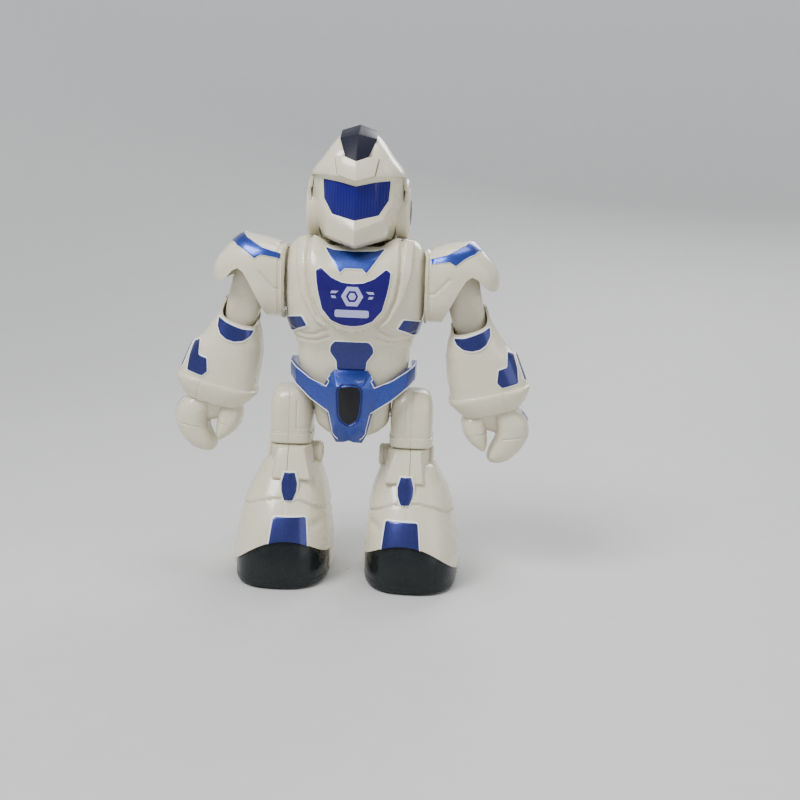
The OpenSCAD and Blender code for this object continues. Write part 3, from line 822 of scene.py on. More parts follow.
def round_view(radius):
    """Rays from all round an upright axis: u is the arc at the radius from the front, v the height."""
    def aim(u, v):
        a = u / radius
        out = Vector((math.sin(a), -math.cos(a), 0))
        return out * 200 + Vector((0, 0, v)), -out
    return aim


VIEWS["round"] = round_view(30)


def groove(distance, depth=0.6, width=0.45):
    return -depth * np.exp(-((distance / width) ** 2))


BACK_PANEL = [(26.5, 196), (27.5, 186), (30, 170), (29, 150), (26.5, 122)]
YOKE = [(0, 196), (20, 196), (24, 184), (22, 181), (0, 181)]


def torso_relief(x, y, z, n):
    """The bib, straps and waist folds in front, the side seam, and the panels of the back."""
    side = np.abs(x)
    front = smooth_step(-n[..., 1], 0.12, 0.4)
    bib = 2.4 * smooth_step(-polygon_distance(x, z, BIB), -0.7, 0.6)
    strap = 2.0 * smooth_step(-polygon_distance(side, z, STRAP), -0.75, 0.75)
    folds = groove(line_distance(side, z, [(34, 148.6), (27, 146.4), (21, 147), (15.5, 150)]), 1.1, 0.7)
    folds += groove(line_distance(side, z, [(34, 144.4), (27, 143), (20, 143.4), (13.5, 146)]), 1.1, 0.7)
    seam = groove(np.abs(y) + 0 * z, 0.55, 0.35) * (z < 197)
    rear = smooth_step(n[..., 1], 0.12, 0.4)
    panel = groove(line_distance(side, z, BACK_PANEL), 0.7, 0.6)
    yoke = 0.8 * smooth_step(-polygon_distance(side, z, YOKE), -0.4, 0.4)
    return front * (bib + strap + folds) + seam + rear * (panel + yoke)


def torso_grid():
    grid = ringed(TORSO, 320, 12)
    p = grid.points
    near_neck = smooth_step(25 - np.abs(p[..., 0]), 0, 12)
    p[..., 2] -= 0.26 * near_neck * np.maximum(0, p[..., 2] - 180)
    return grid.carve(torso_relief)


def build_torso():
    grid = torso_grid()
    front = tube_piece("chest_shell_skin", grid, IVORY, lambda x, y, z: y < 0, caps=False, wall=SHELL_T)
    rear = tube_piece("back_shell_skin", grid, IVORY, lambda x, y, z: y >= 0, caps=False, wall=SHELL_T)
    tree = host_tree(front, rear)

    (x0, z0), (x1, z1) = DOOR
    hatch = box("hatch_cutter", (x0 + 0.3, 8, z0 + 0.3), (x1 - 0.3, 40, z1 - 0.3))
    door = cut(twin_of(rear), hatch, "INTERSECT")
    opening = box("opening_cutter", (x0, 8, z0), (x1, 40, z1))
    cut(rear, opening)
    slot = box("switch_cutter", (-9, 10, 183.2), (9, 40, 188.8))
    cut(rear, slot)
    drop(hatch, opening, slot)
    door_parts = [door]
    for k, z in enumerate((127.5, 130.5, 133.5)):
        bar = rounded([(-7, z), (7, z), (7, z + 1.3), (-7, z + 1.3)], 0.6)
        door_parts.append(inlay(f"door_grip_{k}", bar, tree, "back", IVORY, 0.8, 0.3))
    for k, x in enumerate((-14, 14)):
        door_parts.append(box(f"door_rib_{k}", (x - 0.6, 21, 128), (x + 0.6, 23.5, 172), IVORY))
    fit(join("battery_door_panel", *door_parts), "battery_door", "ivory_plastic", "battery_door")

    fit(front, "torso", "ivory_plastic", "chest_shell")
    rear_parts = [rear]
    for k, (w, z) in enumerate([(12, 190.2), (14, 192.3), (12, 194.4)]):
        bar = rounded([(-w, z), (w, z), (w, z + 1.1), (-w, z + 1.1)], 0.5)
        rear_parts.append(inlay(f"speaker_slot_{k}", bar, tree, "back", GREY, 0.15, 0.1))
    fit(join("back_shell_panel", *rear_parts), "torso", "ivory_plastic", "back_shell")

    plate = rimmed("chest_plate_inlay", PLATE, tree, "front", INDIGO, 1.0, 0.5, 0.9, centre=(0, 167))
    fit(join("chest_plate_panel", *plate, *generic_motif(tree)), "torso", "indigo_plastic", "chest_plate")
    collar = rimmed("collar_inlay", COLLAR, tree, "front", BLUE, 0.8, 0.7, 0.8, centre=(0, 190))
    fit(join("collar_panel", *collar), "torso", "metallic_blue", "collar_trim")
    trims = [*rimmed("tummy_inlay", TUMMY, tree, "front", DEEP_BLUE, 1.0, 0.7, 1.2, centre=(0, 136))]
    for sign, shape in ((1, FLANK), (-1, flipped(FLANK))):
        trims += rimmed(f"flank_{sign}", shape, tree, "round", DEEP_BLUE, 1.0, 0.8, 0.8)
    fit(join("torso_trims_set", *trims), "torso", "metallic_blue", "torso_trims")


def generic_motif(tree):
    """A blank badge for the chest: a hexagon ring with a core, four dashes and a plain bar below."""
    def raised(name, outline, gap=1.0):
        return inlay(name, outline, tree, "front", LAVENDER, 1.2, 0.12, gap=gap, sink=-0.6)

    hexagon = [(6.2, 170), (3.1, 175.4), (-3.1, 175.4), (-6.2, 170), (-3.1, 164.6), (3.1, 164.6)]
    ring = [divided(edge + edge[:1], 6) for edge in (hexagon, widened(hexagon, -1.7))]
    pieces = [
        strip("badge_ring", *ring, tree, "front", LAVENDER, 1.2, 0.12, 4, sink=-0.6),
        raised("badge_core", [(x * 0.36, 170 + (z - 170) * 0.36) for x, z in hexagon]),
    ]
    for sign in (1, -1):
        wing = [(sign * 7.6, 172.9), (sign * 11.6, 172.9), (sign * 12.4, 171.5), (sign * 9.2, 171.5)]
        tip = [(sign * 9.6, 170.2), (sign * 12, 170.2), (sign * 11.2, 168.8), (sign * 8.8, 168.8)]
        for k, shape in enumerate((wing, tip)):
            pieces.append(raised(f"badge_dash_{sign}_{k}", shape if sign > 0 else shape[::-1], 0.6))
    bar = rounded([(-9.6, 158.2), (9.6, 158.2), (9.6, 162.4), (-9.6, 162.4)], 1.4)
    return [*pieces, raised("badge_bar", bar)]


# ---- Pelvis and belt ----

PELVIS = [
    (118, 31, 21, 21, 3), (116.8, 30, 20.4, 20.4, 3), (116, 22.5, 19.4, 19.4, 2.9), (113, 22.5, 19, 19, 2.9),
    (101, 22.4, 18.8, 18.8, 2.8), (93, 21.2, 18, 18, 2.7), (88, 17, 15.6, 15.6, 2.6),
    (85.2, 11.5, 12.5, 12.5, 2.4),
    (84.2, 6, 8, 8, 2.2),
]
WINDOW = mirrored([(0, 118.9), (4.4, 118.6), (6.2, 116.8), (6.4, 113.5), (5.6, 103), (4.3, 99.6), (0, 96.9)])


def pelvis_relief(x, y, z, n):
    side = np.abs(x)
    panel = groove(line_distance(side, z, [(21, 104), (13.5, 98.5), (12.2, 88)]), 0.5, 0.4)
    facing = np.abs(n[..., 1]) > 0.2
    return panel * facing + groove(np.abs(y) + 0 * z, 0.45, 0.35)


def build_belt():
    pelvis = tube_piece("pelvis_shell_skin", ringed(PELVIS).carve(pelvis_relief), IVORY)
    fit(pelvis, "torso", "ivory_plastic", "pelvis_shell")
    corners = [
        (0, -24.2, 127), (9.8, -24.2, 127), (0, -33.6, 119), (7.4, -33.2, 118.6),
        (11.8, -26.6, 124.4), (15.8, -26.4, 117.4), (7.7, -33.8, 98.4), (0, -34.6, 94.4),
        (10.2, -27.2, 89.4), (13.5, -26.6, 103), (7.6, -24.6, 84.2), (2.6, -28.2, 85.2), (0, -29.2, 86.4),
        (24, -24.2, 121.8), (23.6, -23.2, 109), (32.4, -17.8, 126.6), (32.2, -17, 115.8),
        (36.6, -9, 129), (36.4, -8.4, 119.4), (37.2, 3, 129.6), (37.2, 3, 120.8), (35.8, 12, 128.6),
        (35.8, 12, 122),
    ]
    plates = [
        (0, 2, 3, 1), (1, 3, 5, 4), (3, 6, 9, 5), (6, 8, 9), (6, 7, 12, 11, 8), (8, 11, 10),
        (5, 9, 14, 13), (13, 14, 16, 15), (15, 16, 18, 17), (17, 18, 20, 19), (19, 20, 22, 21),
        (2, 7, 6, 3),
    ]
    belt = facets("belt_skin", corners, plates, BLUE, wall=2.2, bevel=0.5)
    tree = host_tree(belt)
    side_edge = [(11.8, 124.2), (15.6, 117.8), (23.8, 121.5), (32, 126.3), (36.2, 128.7)]
    low_edge = [(36, 119.9), (32, 116.3), (23.4, 109.6), (13.7, 103.6), (10.6, 90), (7.8, 84.9)]
    pieces = [belt]
    for path in (side_edge, low_edge):
        pieces.append(edging("belt_edge", path, tree, "front", 0.28, 0.15))
        pieces.append(edging("belt_edge", flipped(path), tree, "front", 0.28, 0.15))
    frame_outline = spaced(widened(rounded(WINDOW, 1.2), 1.1), 1.0)
    frame_line = [drape(tree, "front", u, v, 0.25) for u, v in frame_outline]
    pieces.append(bead("window_frame", frame_line, 0.55, DEEP_BLUE))
    fit(join("belt_front", *pieces), "torso", "metallic_blue", "belt")
    window = inlay(
        "belt_window_glass", rounded(WINDOW, 1.2), tree, "front", BLACK, 0.9, 0.5, gap=0.7, crown=0.9
    )
    fit(window, "torso", "black_gloss", "belt_window")


# ---- Arms: built on the robot's left, in the arm's own frame (outwards, back, down the arm) ----

ARM_LEAN = math.radians(13.6)
ARM_AT = (59.5, 184)
PAULDRON = [
    (41.9, 174.8, 3, 3, 3, 2.6), (41.9, 174.8, 17.6, 17.8, 17.8, 3.2), (40.5, 174.8, 19.4, 19.6, 19.6, 3.2),
    (40.6, 174.8, 20.6, 20.9, 20.9, 3.2), (42.1, 174.8, 21.2, 21.6, 21.6, 3.2),
    (46, 175.6, 21.8, 22.2, 22.2, 3.0),
    (53, 176.8, 22.8, 22.8, 22.8, 2.8), (60, 177.8, 23, 22.2, 22.2, 2.6), (66, 178.6, 22.4, 20.6, 20.6, 2.4),
    (72, 178.6, 18.4, 18.2, 18.2, 2.3), (78, 178.6, 12.2, 14.6, 14.6, 2.2),
    (81.6, 178.2, 7.4, 10.4, 10.4, 2.1),
    (83.2, 178, 3, 5, 5, 2),
]
ARCH = [
    (44, 140), (47, 150), (50.4, 155), (55.4, 165.4), (60, 174.4), (63.5, 180), (66.8, 182), (70, 180.4),
    (73.8, 176.2), (78, 173.8), (95, 173.4), (95, 140),
]
UPPER_ARM = [
    (-7, -6, 6, 6, 6, 2.2), (-3, -9.4, 9.4, 9.4, 9.4, 2.3), (4, -10.4, 10.4, 10.4, 10.6, 2.3),
    (16, -10.2, 10.2, 8.6, 10.4, 2.4), (24, -10, 10.2, 6.8, 10.3, 2.4), (30, -9.6, 10, 6.5, 10.2, 2.4),
    (37, -8.8, 9.2, 6.5, 9.4, 2.3), (43, -8.2, 8.4, 6.3, 8.2, 2.2), (47, -5.5, 5.5, 4.6, 5.4, 2.1),
]
FOREARM = [
    (20, -9.6, 11.6, 12.4, 12.8, 2.5), (31, -10.8, 12.9, 13.6, 14, 2.5), (40, -14.6, 15.8, 15.4, 15.4, 2.5),
    (47, -17, 18.6, 16.8, 16.6, 2.5), (51, -17.8, 21.6, 17, 16.8, 2.5), (54, -18.3, 23.4, 17.2, 17, 2.5),
    (63, -19, 25, 17.4, 17.2, 2.6),
    (70.5, -19.2, 26.2, 17.6, 17.4, 2.7), (72.6, -19.4, 26.4, 17.8, 17.6, 2.8),
    (73, -20.6, 27.8, 19, 18.8, 3),
    (74.4, -20.8, 27.9, 19.4, 19.2, 3), (78, -19, 26.2, 18.8, 18.6, 3), (83.4, -14.8, 21.6, 16.4, 16.2, 3),
    (85, -13.4, 19.4, 15, 14.8, 3), (85.6, -10.5, 14.6, 12, 12, 3), (86, -2, 6, 4, 4, 3),
]
MOUTH_RIM = [
    (-180, 31), (-158, 33.4), (-130, 35.2), (-100, 35.4), (-78, 34.8), (-52, 33.2), (-25, 29.4), (0, 24.2),
    (45, 22.6), (90, 24.6), (135, 27.6), (180, 31),
]
CRESCENT = [
    (11.2, 34.6), (6.2, 36.2), (0.4, 37.2), (-5, 37.6), (-10.4, 37),
    (-9.6, 40.4), (-6.6, 43.8), (-1.6, 45.6), (3.2, 45.4), (7.4, 43.4), (10.4, 39.4),
]
RIM_SETTLED = 62
GUARD_BADGE = [
    (18.6, 50.4), (21.8, 52.6), (22.4, 61), (21.2, 69.4), (11.4, 69.8), (9.1, 66.5), (11.3, 59.3),
    (16.6, 58.9),
]


def side_loft(stations, columns=150, per=7):
    """Rings along x: stations hold x, middle height, half height, front depth, back depth and squareness."""
    rows = [(x, half, front, back, power, middle) for x, middle, half, front, back, power in stations]
    x, half, front, back, power, middle = (c[:, None] for c in eased(*along(rows, per)).T)
    angle = turn_of(columns)
    c, s = np.cos(angle), np.sin(angle)
    r = rounded_square(c, s, np.where(c < 0, front, back), half, power)
    return Grid(np.stack([np.broadcast_to(x, r.shape), r * c, middle + r * s], axis=2))


def down_loft(stations, columns=150, per=7, rim=None):
    """Rings down a limb: stations hold distance down, inner and outer edges, front, back and squareness."""
    rows = [
        (-down, (outer - inner) / 2, front, back, power, (outer + inner) / 2)
        for down, inner, outer, front, back, power in stations
    ]
    table, at = along(rows, per)
    angle = turn_of(columns)
    at = np.repeat(at[:, None], columns, axis=1)
    if rim is not None:
        run, fall = zip(*((row[0], -row[1]) for row in table))
        down = np.interp(at, run, fall)
        top = stations[0][0]
        lowered = rim(np.degrees(angle)) - top
        down = down + lowered * np.clip((RIM_SETTLED - down) / (RIM_SETTLED - top), 0, 1)
        at = np.interp(down, fall, run)
    values = eased(table, at.ravel()).reshape(*at.shape, 6)
    z, a, front, back, power, middle = np.moveaxis(values, 2, 0)
    c, s = np.cos(angle), np.sin(angle)
    r = rounded_square(c, s, a, np.where(s < 0, front, back), power)
    return Grid(np.stack([middle + r * c, r * s, z], axis=2)[::-1])


def on_arm(x, y, z):
    """From the arm's own frame to the robot's."""
    c, s = math.cos(ARM_LEAN), math.sin(ARM_LEAN)
    return ARM_AT[0] + x * c - z * s, y, ARM_AT[1] + x * s + z * c


def pauldron_relief(x, y, z, n):
    sweep = groove(line_distance(x, z, [(42.5, 171.5), (45.6, 171.8), (54, 180.4)]), 1.0, 0.6)
    facing = np.abs(n[..., 1]) > 0.3
    inner_step = 0.7 * smooth_step(x, 44.4, 43.8)
    return sweep * facing - inner_step


def shoulder_view(u, v):
    a = v / 22
    out = Vector((0, -math.cos(a), math.sin(a)))
    return out * 120 + Vector((u, 0, 179)), -out


VIEWS["shoulder"] = shoulder_view


def build_shoulder():
    shell = tube_piece("pauldron", side_loft(PAULDRON).carve(pauldron_relief), IVORY, wall=SHELL_T)
    tree = host_tree(shell)
    arch = prism("arch_cutter", ARCH, -60, 60)
    cut(shell, arch)
    drop(arch)
    upper = [(42.7, 13.2), (47, 13.6), (52.5, 14.8), (58, 18.6), (62.4, 22.6), (64.8, 28.4), (65.8, 34.6)]
    lower = [(42.7, 9.6), (47, 10), (53.6, 10.6), (57, 8.6), (67.8, 17.2), (71.8, 25), (73.2, 34.6)]
    upper += [(u, 69.2 - v) for u, v in reversed(upper[:-1])]
    lower += [(u, 69.2 - v) for u, v in reversed(lower[:-1])]
    stripe = strip("stripe", divided(upper, 6), divided(lower, 6), tree, "shoulder", BLUE, 0.7, 0.3)
    edge = edging("stripe_edge", upper, tree, "shoulder", 0.3, 0.35)
    low_edge = edging("stripe_low_edge", lower, tree, "shoulder", 0.26, 0.3)
    for side in SIDES:
        placed([shell], "shoulder_shell_skin", side, "shoulder", "ivory_plastic", "shoulder_shell")
        placed(
            [stripe, edge, low_edge], "shoulder_stripe_skin", side, "shoulder", "metallic_blue",
            "shoulder_stripe",
        )
    drop(shell, stripe, edge, low_edge)


def placed(objs, name, side, body, slot, node=None, place=None):
    """One side's copy of pieces built on the left, joined and fitted."""
    made = []
    for obj in objs:
        twin = twin_of(obj)
        if place:
            moved(twin, place)
        if side == "right":
            other = reflected(twin, obj.name + "_r")
            drop(twin)
            twin = other
        made.append(twin)
    return fit(join(f"{name}_{side}", *made), f"{body}_{side}", slot, *([f"{node}_{side}"] if node else []))


def forearm_relief(x, y, z, n):
    down = -z
    under_badge = (x > 6) & (down > 52) & (down < 71)
    seam = groove(np.abs(y) + 0 * z, 0.5, 0.32) * (np.abs(x) > 6) * (down < 73) * ~under_badge
    crease = groove(np.abs(x - 11.5) + 0 * z, 0.5, 0.5) * (down > 73.2) * (down < 85)
    return seam + crease


def build_forearm():
    def rim(turn):
        line = np.interp(np.mod(turn + 180, 360) - 180, *zip(*MOUTH_RIM))
        return sum(np.roll(line, k, axis=1) for k in range(-7, 8)) / 15

    grid = down_loft(FOREARM, 180, 8, rim)
    shell = tube_piece("forearm", grid.carve(forearm_relief), IVORY, caps=False, wall=SHELL_T)
    tree = host_tree(shell)
    crescent = [(x, -s) for x, s in CRESCENT]
    crescent_parts = rimmed("crescent", crescent, tree, "front", DEEP_BLUE, 0.9, 0.9, 0.8, centre=(0, -40.6))
    badge = [(x, -s) for x, s in GUARD_BADGE]
    badge_front = rimmed("guard_badge", badge, tree, "front", DEEP_BLUE, 0.8, 0.7, 0.8, centre=(17.8, -63))
    outer = [(-6, -53.4), (6, -53.4), (8.4, -69.6), (-8.4, -69.6)]
    badge_side = rimmed("guard_side", outer, tree, "right", DEEP_BLUE, 0.8, 0.8, 2)
    blues = [*crescent_parts, *badge_front, *badge_side]
    for side in SIDES:
        placed([shell], "forearm_skin", side, "forearm", "ivory_plastic", "forearm", on_arm)
        placed(blues, "forearm_badges", side, "forearm", "metallic_blue", "forearm_trims", on_arm)
    drop(shell, *blues)


def build_upper_arm():
    grid = down_loft(UPPER_ARM).carve(lambda x, y, z, n: groove(np.abs(y) + 0 * z, 0.4, 0.3))
    arm = tube_piece("upper_arm_tube", grid, IVORY)
    for side in SIDES:
        placed([arm], "upper_arm_skin", side, "upper_arm", "ivory_plastic", "upper_arm", on_arm)
    drop(arm)


def build_pins():
    shoulder_pin = turned(
        "shoulder_pin", [(1.6, -20.2), (2, -19.8), (2, 19.8), (1.6, 20.2)], (0, 0, 0), STEEL
    )
    moved(shoulder_pin, lambda x, y, z: (y, x, z))
    elbow_pin = turned("elbow_pin", [(1.2, -13.4), (1.5, -13), (1.5, 13), (1.2, 13.4)], (0, 0, -40), STEEL)
    for side in SIDES:
        placed([shoulder_pin, elbow_pin], "arm_pin_pair", side, "upper_arm", "steel", "arm_pins", on_arm)
    drop(shoulder_pin, elbow_pin)


PALM = [
    (81, -9, 12, 9.5, 9.5, 2.6), (87, -11, 17, 10.6, 11.5, 2.8), (92, -8, 18, 9, 12, 2.8),
    (98, 2, 17, 6, 11, 2.7), (101, 4, 12, 2, 8, 2.5),
]
THUMB = [
    (83.5, -13.8, -0.6, 10.4, 3, 2.6), (88, -16, -1, 13, 3, 2.7), (94, -16, -1.6, 13.8, 2, 2.7),
    (99.6, -13.8, -2.4, 13.2, 0.6, 2.6),
    (104, -10.4, -3.4, 11.6, -2, 2.5), (106.6, -7.8, -4.8, 9, -4, 2.3),
]
FINGERS = [
    (84.5, 3.4, 16.8, 12.4, 8, 2.8), (89.4, 3, 20.8, 14.2, 12, 2.8), (95, 3.6, 22.8, 15, 13, 2.8),
    (101, 2, 22.6, 14.8, 12.8, 2.8),
    (106.4, -2.2, 19.6, 14, 12, 2.7), (111, -5, 15.2, 12.6, 10.6, 2.6), (114.4, -4, 10, 10, 8, 2.5),
    (116, -1, 5.6, 6, 5, 2.3),
]


def finger_relief(x, y, z, n):
    down = -z
    knuckle = groove(down - (100.6 + 0.06 * x), 0.6, 0.4) * (np.abs(n[..., 1]) + n[..., 0] > 0.2)
    gaps = sum(groove(y - at, 1.0, 0.7) for at in (-7, 0, 7)) * smooth_step(down, 92, 96)
    return knuckle + gaps


def thumb_relief(x, y, z, n):
    return groove(-z - (95.4 - 0.06 * x), 0.6, 0.4)


def build_hand():
    palm = tube_piece("palm", down_loft(PALM), IVORY)
    thumb = tube_piece("thumb", down_loft(THUMB).carve(thumb_relief), IVORY)
    fingers = tube_piece("fingers", down_loft(FINGERS, 180, 12).carve(finger_relief), IVORY)
    tree = host_tree(fingers)
    badge = rimmed(
        "knuckle_badge", [(-6, -88.5), (6, -88.5), (4.4, -94.6), (-4.4, -94.6)], tree, "right", DEEP_BLUE,
        0.8, 0.6, 0.9,
    )
    for side in SIDES:
        placed([palm, thumb, fingers, *badge], "hand_skin", side, "hand", "ivory_plastic", "hand", on_arm)
    drop(palm, thumb, fingers, *badge)


# ---- Legs: built on the robot's left, about the leg's own upright centre line ----

LEG_X = 36
THIGH = [
    (-113.4, -4.6, 3.8, 4, 4, 2.3), (-112.6, -8.4, 7.6, 8, 8, 2.5), (-110.4, -10.8, 10, 11, 11, 2.8),
    (-106.6, -12.2, 11.4, 13.4, 13.4, 3.2),
    (-100.6, -12.9, 12.1, 14.8, 14.8, 3.6), (-92.6, -13, 12.2, 15.2, 15.2, 3.8),
    (-87, -13, 12.2, 15.2, 15.2, 3.8),
    (-86, -12.8, 12, 15, 15, 3.8), (-85.6, -13.5, 12.7, 15.8, 15.8, 3.8),
    (-80.8, -13.4, 12.6, 15.6, 15.6, 3.8),
    (-80.2, -12.6, 11.8, 14.8, 14.8, 3.8), (-79.8, -10.8, 10, 12.4, 12.4, 3.6),
    (-72, -10.6, 9.8, 12, 12, 3.6),
]
BOOT = [
    (-72.6, -9.8, 9.6, 10.6, 11, 3), (-69.6, -12.6, 11.6, 15, 15, 3), (-67.6, -15.8, 14, 18.6, 18, 2.8),
    (-61, -18.6, 18, 22.6, 21.6, 2.7), (-53, -21.2, 22.4, 28, 26, 2.6),
    (-44, -23.2, 25.8, 33.6, 31, 2.55), (-35, -24.8, 28.4, 38.4, 36, 2.6),
    (-26, -25.8, 29.8, 42.2, 40.4, 2.7), (-17, -26.4, 30.6, 44.8, 43.6, 2.8),
    (-9, -26.6, 31, 45.8, 45.2, 2.8), (-4.6, -26.4, 30.8, 45.6, 45.2, 2.8),
]
BOOT_STEP = [
    (27, 41.6), (24.5, 44.2), (15, 48.4), (6, 50.8), (-2, 51.1), (-10, 49.4), (-17, 46), (-23.4, 42.2),
    (-26, 40),
]
ARCH_TOP = 28.4
ARCH_HALF = 34
ARCH_X = -2.6
KNOB_Z = 72.6
SHIN_BADGE = [(3.1, -25.4, 65.4), (4.7, -26.6, 59.6), (4.4, -28.2, 55), (2.6, -30.4, 50.2)]
BADGE_X = -2.2
TOE_BADGE = [(5.7, 41.2), (7.5, 25), (-14.7, 25), (-12.9, 41.2)]


def thigh_relief(x, y, z, n):
    flat = smooth_step(np.abs(n[..., 1]), 0.5, 0.9)
    long_line = groove(line_distance(x, z, [(-0.2, 113), (-0.2, 76)]), 0.6, 0.32)
    short_line = groove(line_distance(x, z, [(-4.4, 105), (-4.4, 89.2), (-12, 89)]), 0.6, 0.4)
    ring = groove(z - 87.2, 0.4, 0.3)
    return flat * (long_line + short_line) + ring


def boot_relief(x, y, z, n):
    step = np.interp(x, *zip(*sorted(BOOT_STEP)))
    upper = 1.1 * smooth_step(z - step, -0.15, 0.45)
    lip = groove(z - step + 0.6, 0.5, 0.4)
    dimple = -1.3 * np.exp(-((((x + 19.4) / 3.2) ** 2 + ((z - 36.5) / 2.4) ** 2) ** 1.3)) * (y < 0)
    seam = groove(x + 0.2, 0.5, 0.3) * smooth_step(z, 41.5, 43)
    welt = groove(z - 8.4, 0.5, 0.5) * (y > -12)
    heel = groove(np.abs(polygon_distance(x, z, [(-12, 14), (16, 14), (13, 40), (-9, 40)])), 0.6, 0.45)
    return upper + lip + dimple + seam + welt + heel * (y > 12)


def arch_points(steps=24):
    """The toe opening: a broad arch that falls lower on the inner side."""
    line = []
    for k in range(steps + 1):
        t = -1 + 2 * k / steps
        drop_to_end = 19 if t > 0 else 24
        line.append((ARCH_X + t * ARCH_HALF, ARCH_TOP - drop_to_end * abs(t) ** 2.1))
    return [(-40, -5), *line, (44, -5)]


def build_leg():
    grid = down_loft(THIGH, 200)
    thigh = tube_piece("thigh", grid.carve(thigh_relief), IVORY)
    boot_grid = down_loft(BOOT, 240, 10)
    plain = boot_grid.points.copy()
    toe = Grid(plain - boot_grid.normals() * 1.0)
    boot_grid.carve(boot_relief)
    arch = prism("toe_cutter", arch_points(), -80, -13)
    boots = {
        "inner": tube_piece("boot_in", boot_grid, IVORY, lambda x, y, z: x < -0.2, caps=False, wall=1.8),
        "outer": tube_piece("boot_out", boot_grid, IVORY, lambda x, y, z: x >= -0.2, caps=False, wall=1.8),
    }
    tree = host_tree(*boots.values())
    toe_parts = rimmed(
        "toe_badge", TOE_BADGE, tree, "front", DEEP_BLUE, 1.0, 0.9, 1.6, centre=(-3.6, 34), sink=0.5
    )
    for piece in (*boots.values(), *toe_parts):
        cut(piece, arch)
    drop(arch)

    toe_cap = tube_piece("toe_cap", toe, SOLE, lambda x, y, z: (z < 33) & (y < -10), caps=False, wall=1.2)
    tread = down_loft(
        [
            (-6.4, -24.6, 29, 43.8, 43.6, 2.8), (-5, -25.6, 30, 44.8, 44.6, 2.8),
            (-2, -25.4, 29.8, 44.6, 44.4, 2.8), (-1.2, -24.6, 29, 43.8, 43.6, 2.8),
        ],
        240,
    )
    sole = tube_piece("sole_plate", tread, SOLE)

    plate_corners = [
        (-9.8, -15.2, 79), (6.4, -15.2, 79), (-9.2, -17.8, 78), (5.6, -17.8, 78),
        (-15, -24.2, 60.6), (8.6, -24.2, 60.6), (-13.6, -25.8, 62), (7, -25.8, 62),
        (-13.6, -10, 79.4), (10.6, -10, 79.4), (-16, -12, 64), (10.6, -12, 64),
    ]
    plate_faces = [
        (0, 1, 3, 2), (2, 3, 7, 6), (0, 2, 6, 4), (1, 5, 7, 3), (4, 6, 7, 5), (0, 4, 10, 8),
        (1, 9, 11, 5), (0, 8, 9, 1), (4, 5, 11, 10), (8, 10, 11, 9),
    ]
    plate = facets("knee_plate", plate_corners, plate_faces, IVORY, wall=0, bevel=0.7, mirror=False)
    split = prism("plate_split", [(-0.35, 55), (-0.05, 55), (-0.05, 85), (-0.35, 85)], -40, -8)
    cut(plate, split)
    drop(split)
    core = turned("knee_core", [(5.2, -11), (5.2, 11)], (-0.4, 0, 74.6), IVORY)
    knob = [
        (2, 0), (4.2, 0), (4.6, -0.5), (5.4, -0.5), (6.2, 0), (6.7, 0.8), (6.7, 2), (6.3, 2.3),
        (6.7, 2.6), (6.7, 6), (6, 6.6),
    ]
    outer_knob = turned("knee_knob_out", [(r, 13 - d * 0.75) for r, d in knob], (0, 0, KNOB_Z), IVORY)
    inner_knob = turned("knee_knob_in", [(r, -18.6 + d) for r, d in knob], (0, 0, KNOB_Z), IVORY)

    def shin(name, grow, lift, material):
        half = [(x + grow, y - lift, z + grow * (z - 57.8) / 7.8) for x, y, z in SHIN_BADGE]
        ridge = [(0, y - 1.0, z) for _, y, z in half]
        n = len(half)
        faces = [(k, k + 1, n + k + 1, n + k) for k in range(n - 1)]
        made = facets(name, half + ridge, faces, material, wall=3.2, bevel=0.3)
        return moved(made, lambda x, y, z: (x + BADGE_X, y, z))

    hex_parts = [shin("shin_rim", 0.9, 0, EDGE_WHITE_HIGHLIGHT), shin("shin_badge", 0, 0.7, DEEP_BLUE)]

    def place(x, y, z):
        return x + LEG_X, y, z

    for side in SIDES:
        for half, low, high in (("inner", -60, -0.2), ("outer", -0.2, 60)):
            parts = []
            for source in (thigh, plate, core):
                block = box("half", (low, -80, -10), (high, 80, 130))
                parts.append(cut(twin_of(source), block, "INTERSECT"))
                drop(block)
            whole = [boots[half], inner_knob if half == "inner" else outer_knob]
            placed(
                parts + whole, f"{half}_leg_skin", side, "leg", "ivory_plastic", f"{half}_leg_shell", place
            )
            drop(*parts)
        placed([*hex_parts, *toe_parts], "leg_badge_set", side, "leg", "metallic_blue", "leg_badges", place)
        placed([sole, toe_cap], "sole_skin", side, "leg", "black_gloss", "sole", place)
    drop(thigh, *boots.values(), plate, core, outer_knob, inner_knob, sole, toe_cap, *hex_parts, *toe_parts)


# ---- Stage ----


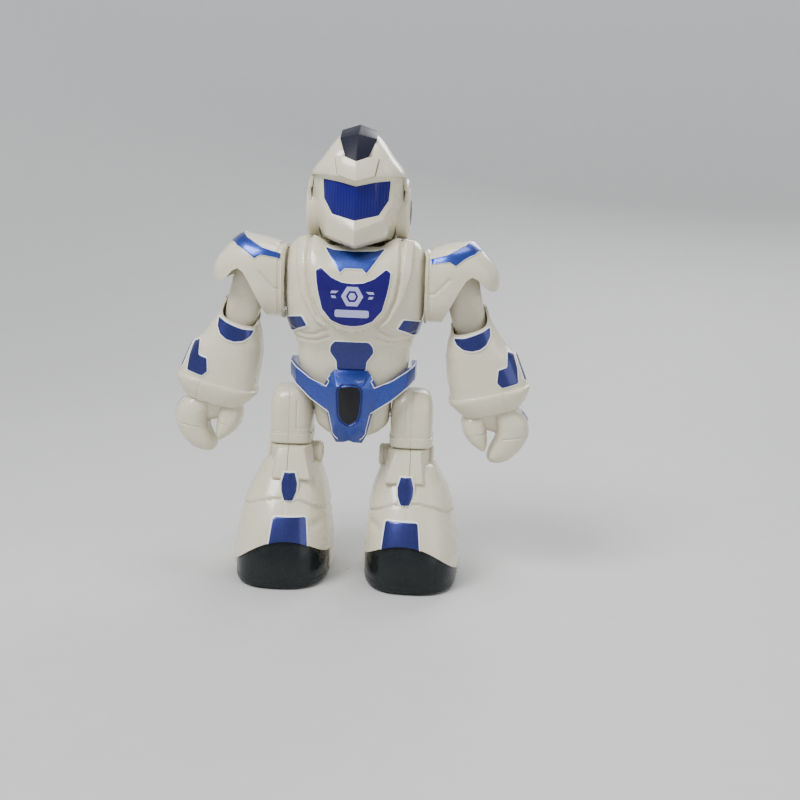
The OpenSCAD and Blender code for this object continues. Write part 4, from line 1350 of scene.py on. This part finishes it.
def backdrop():
    """A seamless round sweep: a flat floor, a wide bend and a wall, all turned about the part."""
    flat, bend, wall_top, around = 0.6, 1.2, 2.2, 96
    profile = [(0.001, 0), (flat, 0)]
    profile += [
        (flat + bend * math.sin(a), bend - bend * math.cos(a)) for a in np.linspace(0.06, math.pi / 2, 24)
    ]
    profile += [(flat + bend, wall_top)]
    turn = np.linspace(0, 2 * math.pi, around, endpoint=False)
    points = [(r * math.cos(a) / MM, r * math.sin(a) / MM, z / MM) for r, z in profile for a in turn]
    sweep = write_mesh("sweep", points, grid_faces(len(profile), around), PAPER, 60)


def stage():
    backdrop()
    world = bpy.data.worlds.new("soft_sky")
    bpy.context.scene.world = world
    world.use_nodes = True
    world.node_tree.nodes["Background"].inputs["Color"].default_value = SKY
    world.node_tree.nodes["Background"].inputs["Strength"].default_value = 0.30
    aim = Vector((0, 0, 0.14))
    for name, place, size, power in (
        ("key", (-0.50, -0.55, 1.05), 0.5, 16.0),
        ("fill", (0.95, -0.55, 0.55), 0.8, 3.2),
        ("top", (0.12, 0.1, 1.2), 0.5, 5.0),
        ("rim", (0.35, 0.9, 0.7), 0.5, 6.0),
    ):
        lamp = bpy.data.lights.new(name, "AREA")
        lamp.size = size
        lamp.energy = power
        obj = bpy.data.objects.new(name, lamp)
        obj.location = place
        obj.rotation_euler = (aim - Vector(place)).to_track_quat("-Z", "Y").to_euler()
        bpy.context.scene.collection.objects.link(obj)


def camera():
    lens = bpy.data.cameras.new("photo_view")
    lens.lens = 54
    lens.sensor_width = 36
    obj = bpy.data.objects.new("photo_view", lens)
    eye = Vector((0.045, -0.70, 0.241))
    target = Vector((0.028, 0, 0.106))
    turn = (target - eye).to_track_quat("-Z", "Y").to_matrix().to_4x4()
    roll = math.radians(2.2)
    obj.matrix_world = turn
    obj.rotation_euler = (turn @ Matrix.Rotation(roll, 4, "Z")).to_euler()
    obj.location = eye
    bpy.context.scene.collection.objects.link(obj)
    bpy.context.scene.camera = obj


dress_cad()
build_head()
build_torso()
build_belt()
build_shoulder()
build_upper_arm()
build_pins()
build_forearm()
build_hand()
build_leg()
stage()
camera()
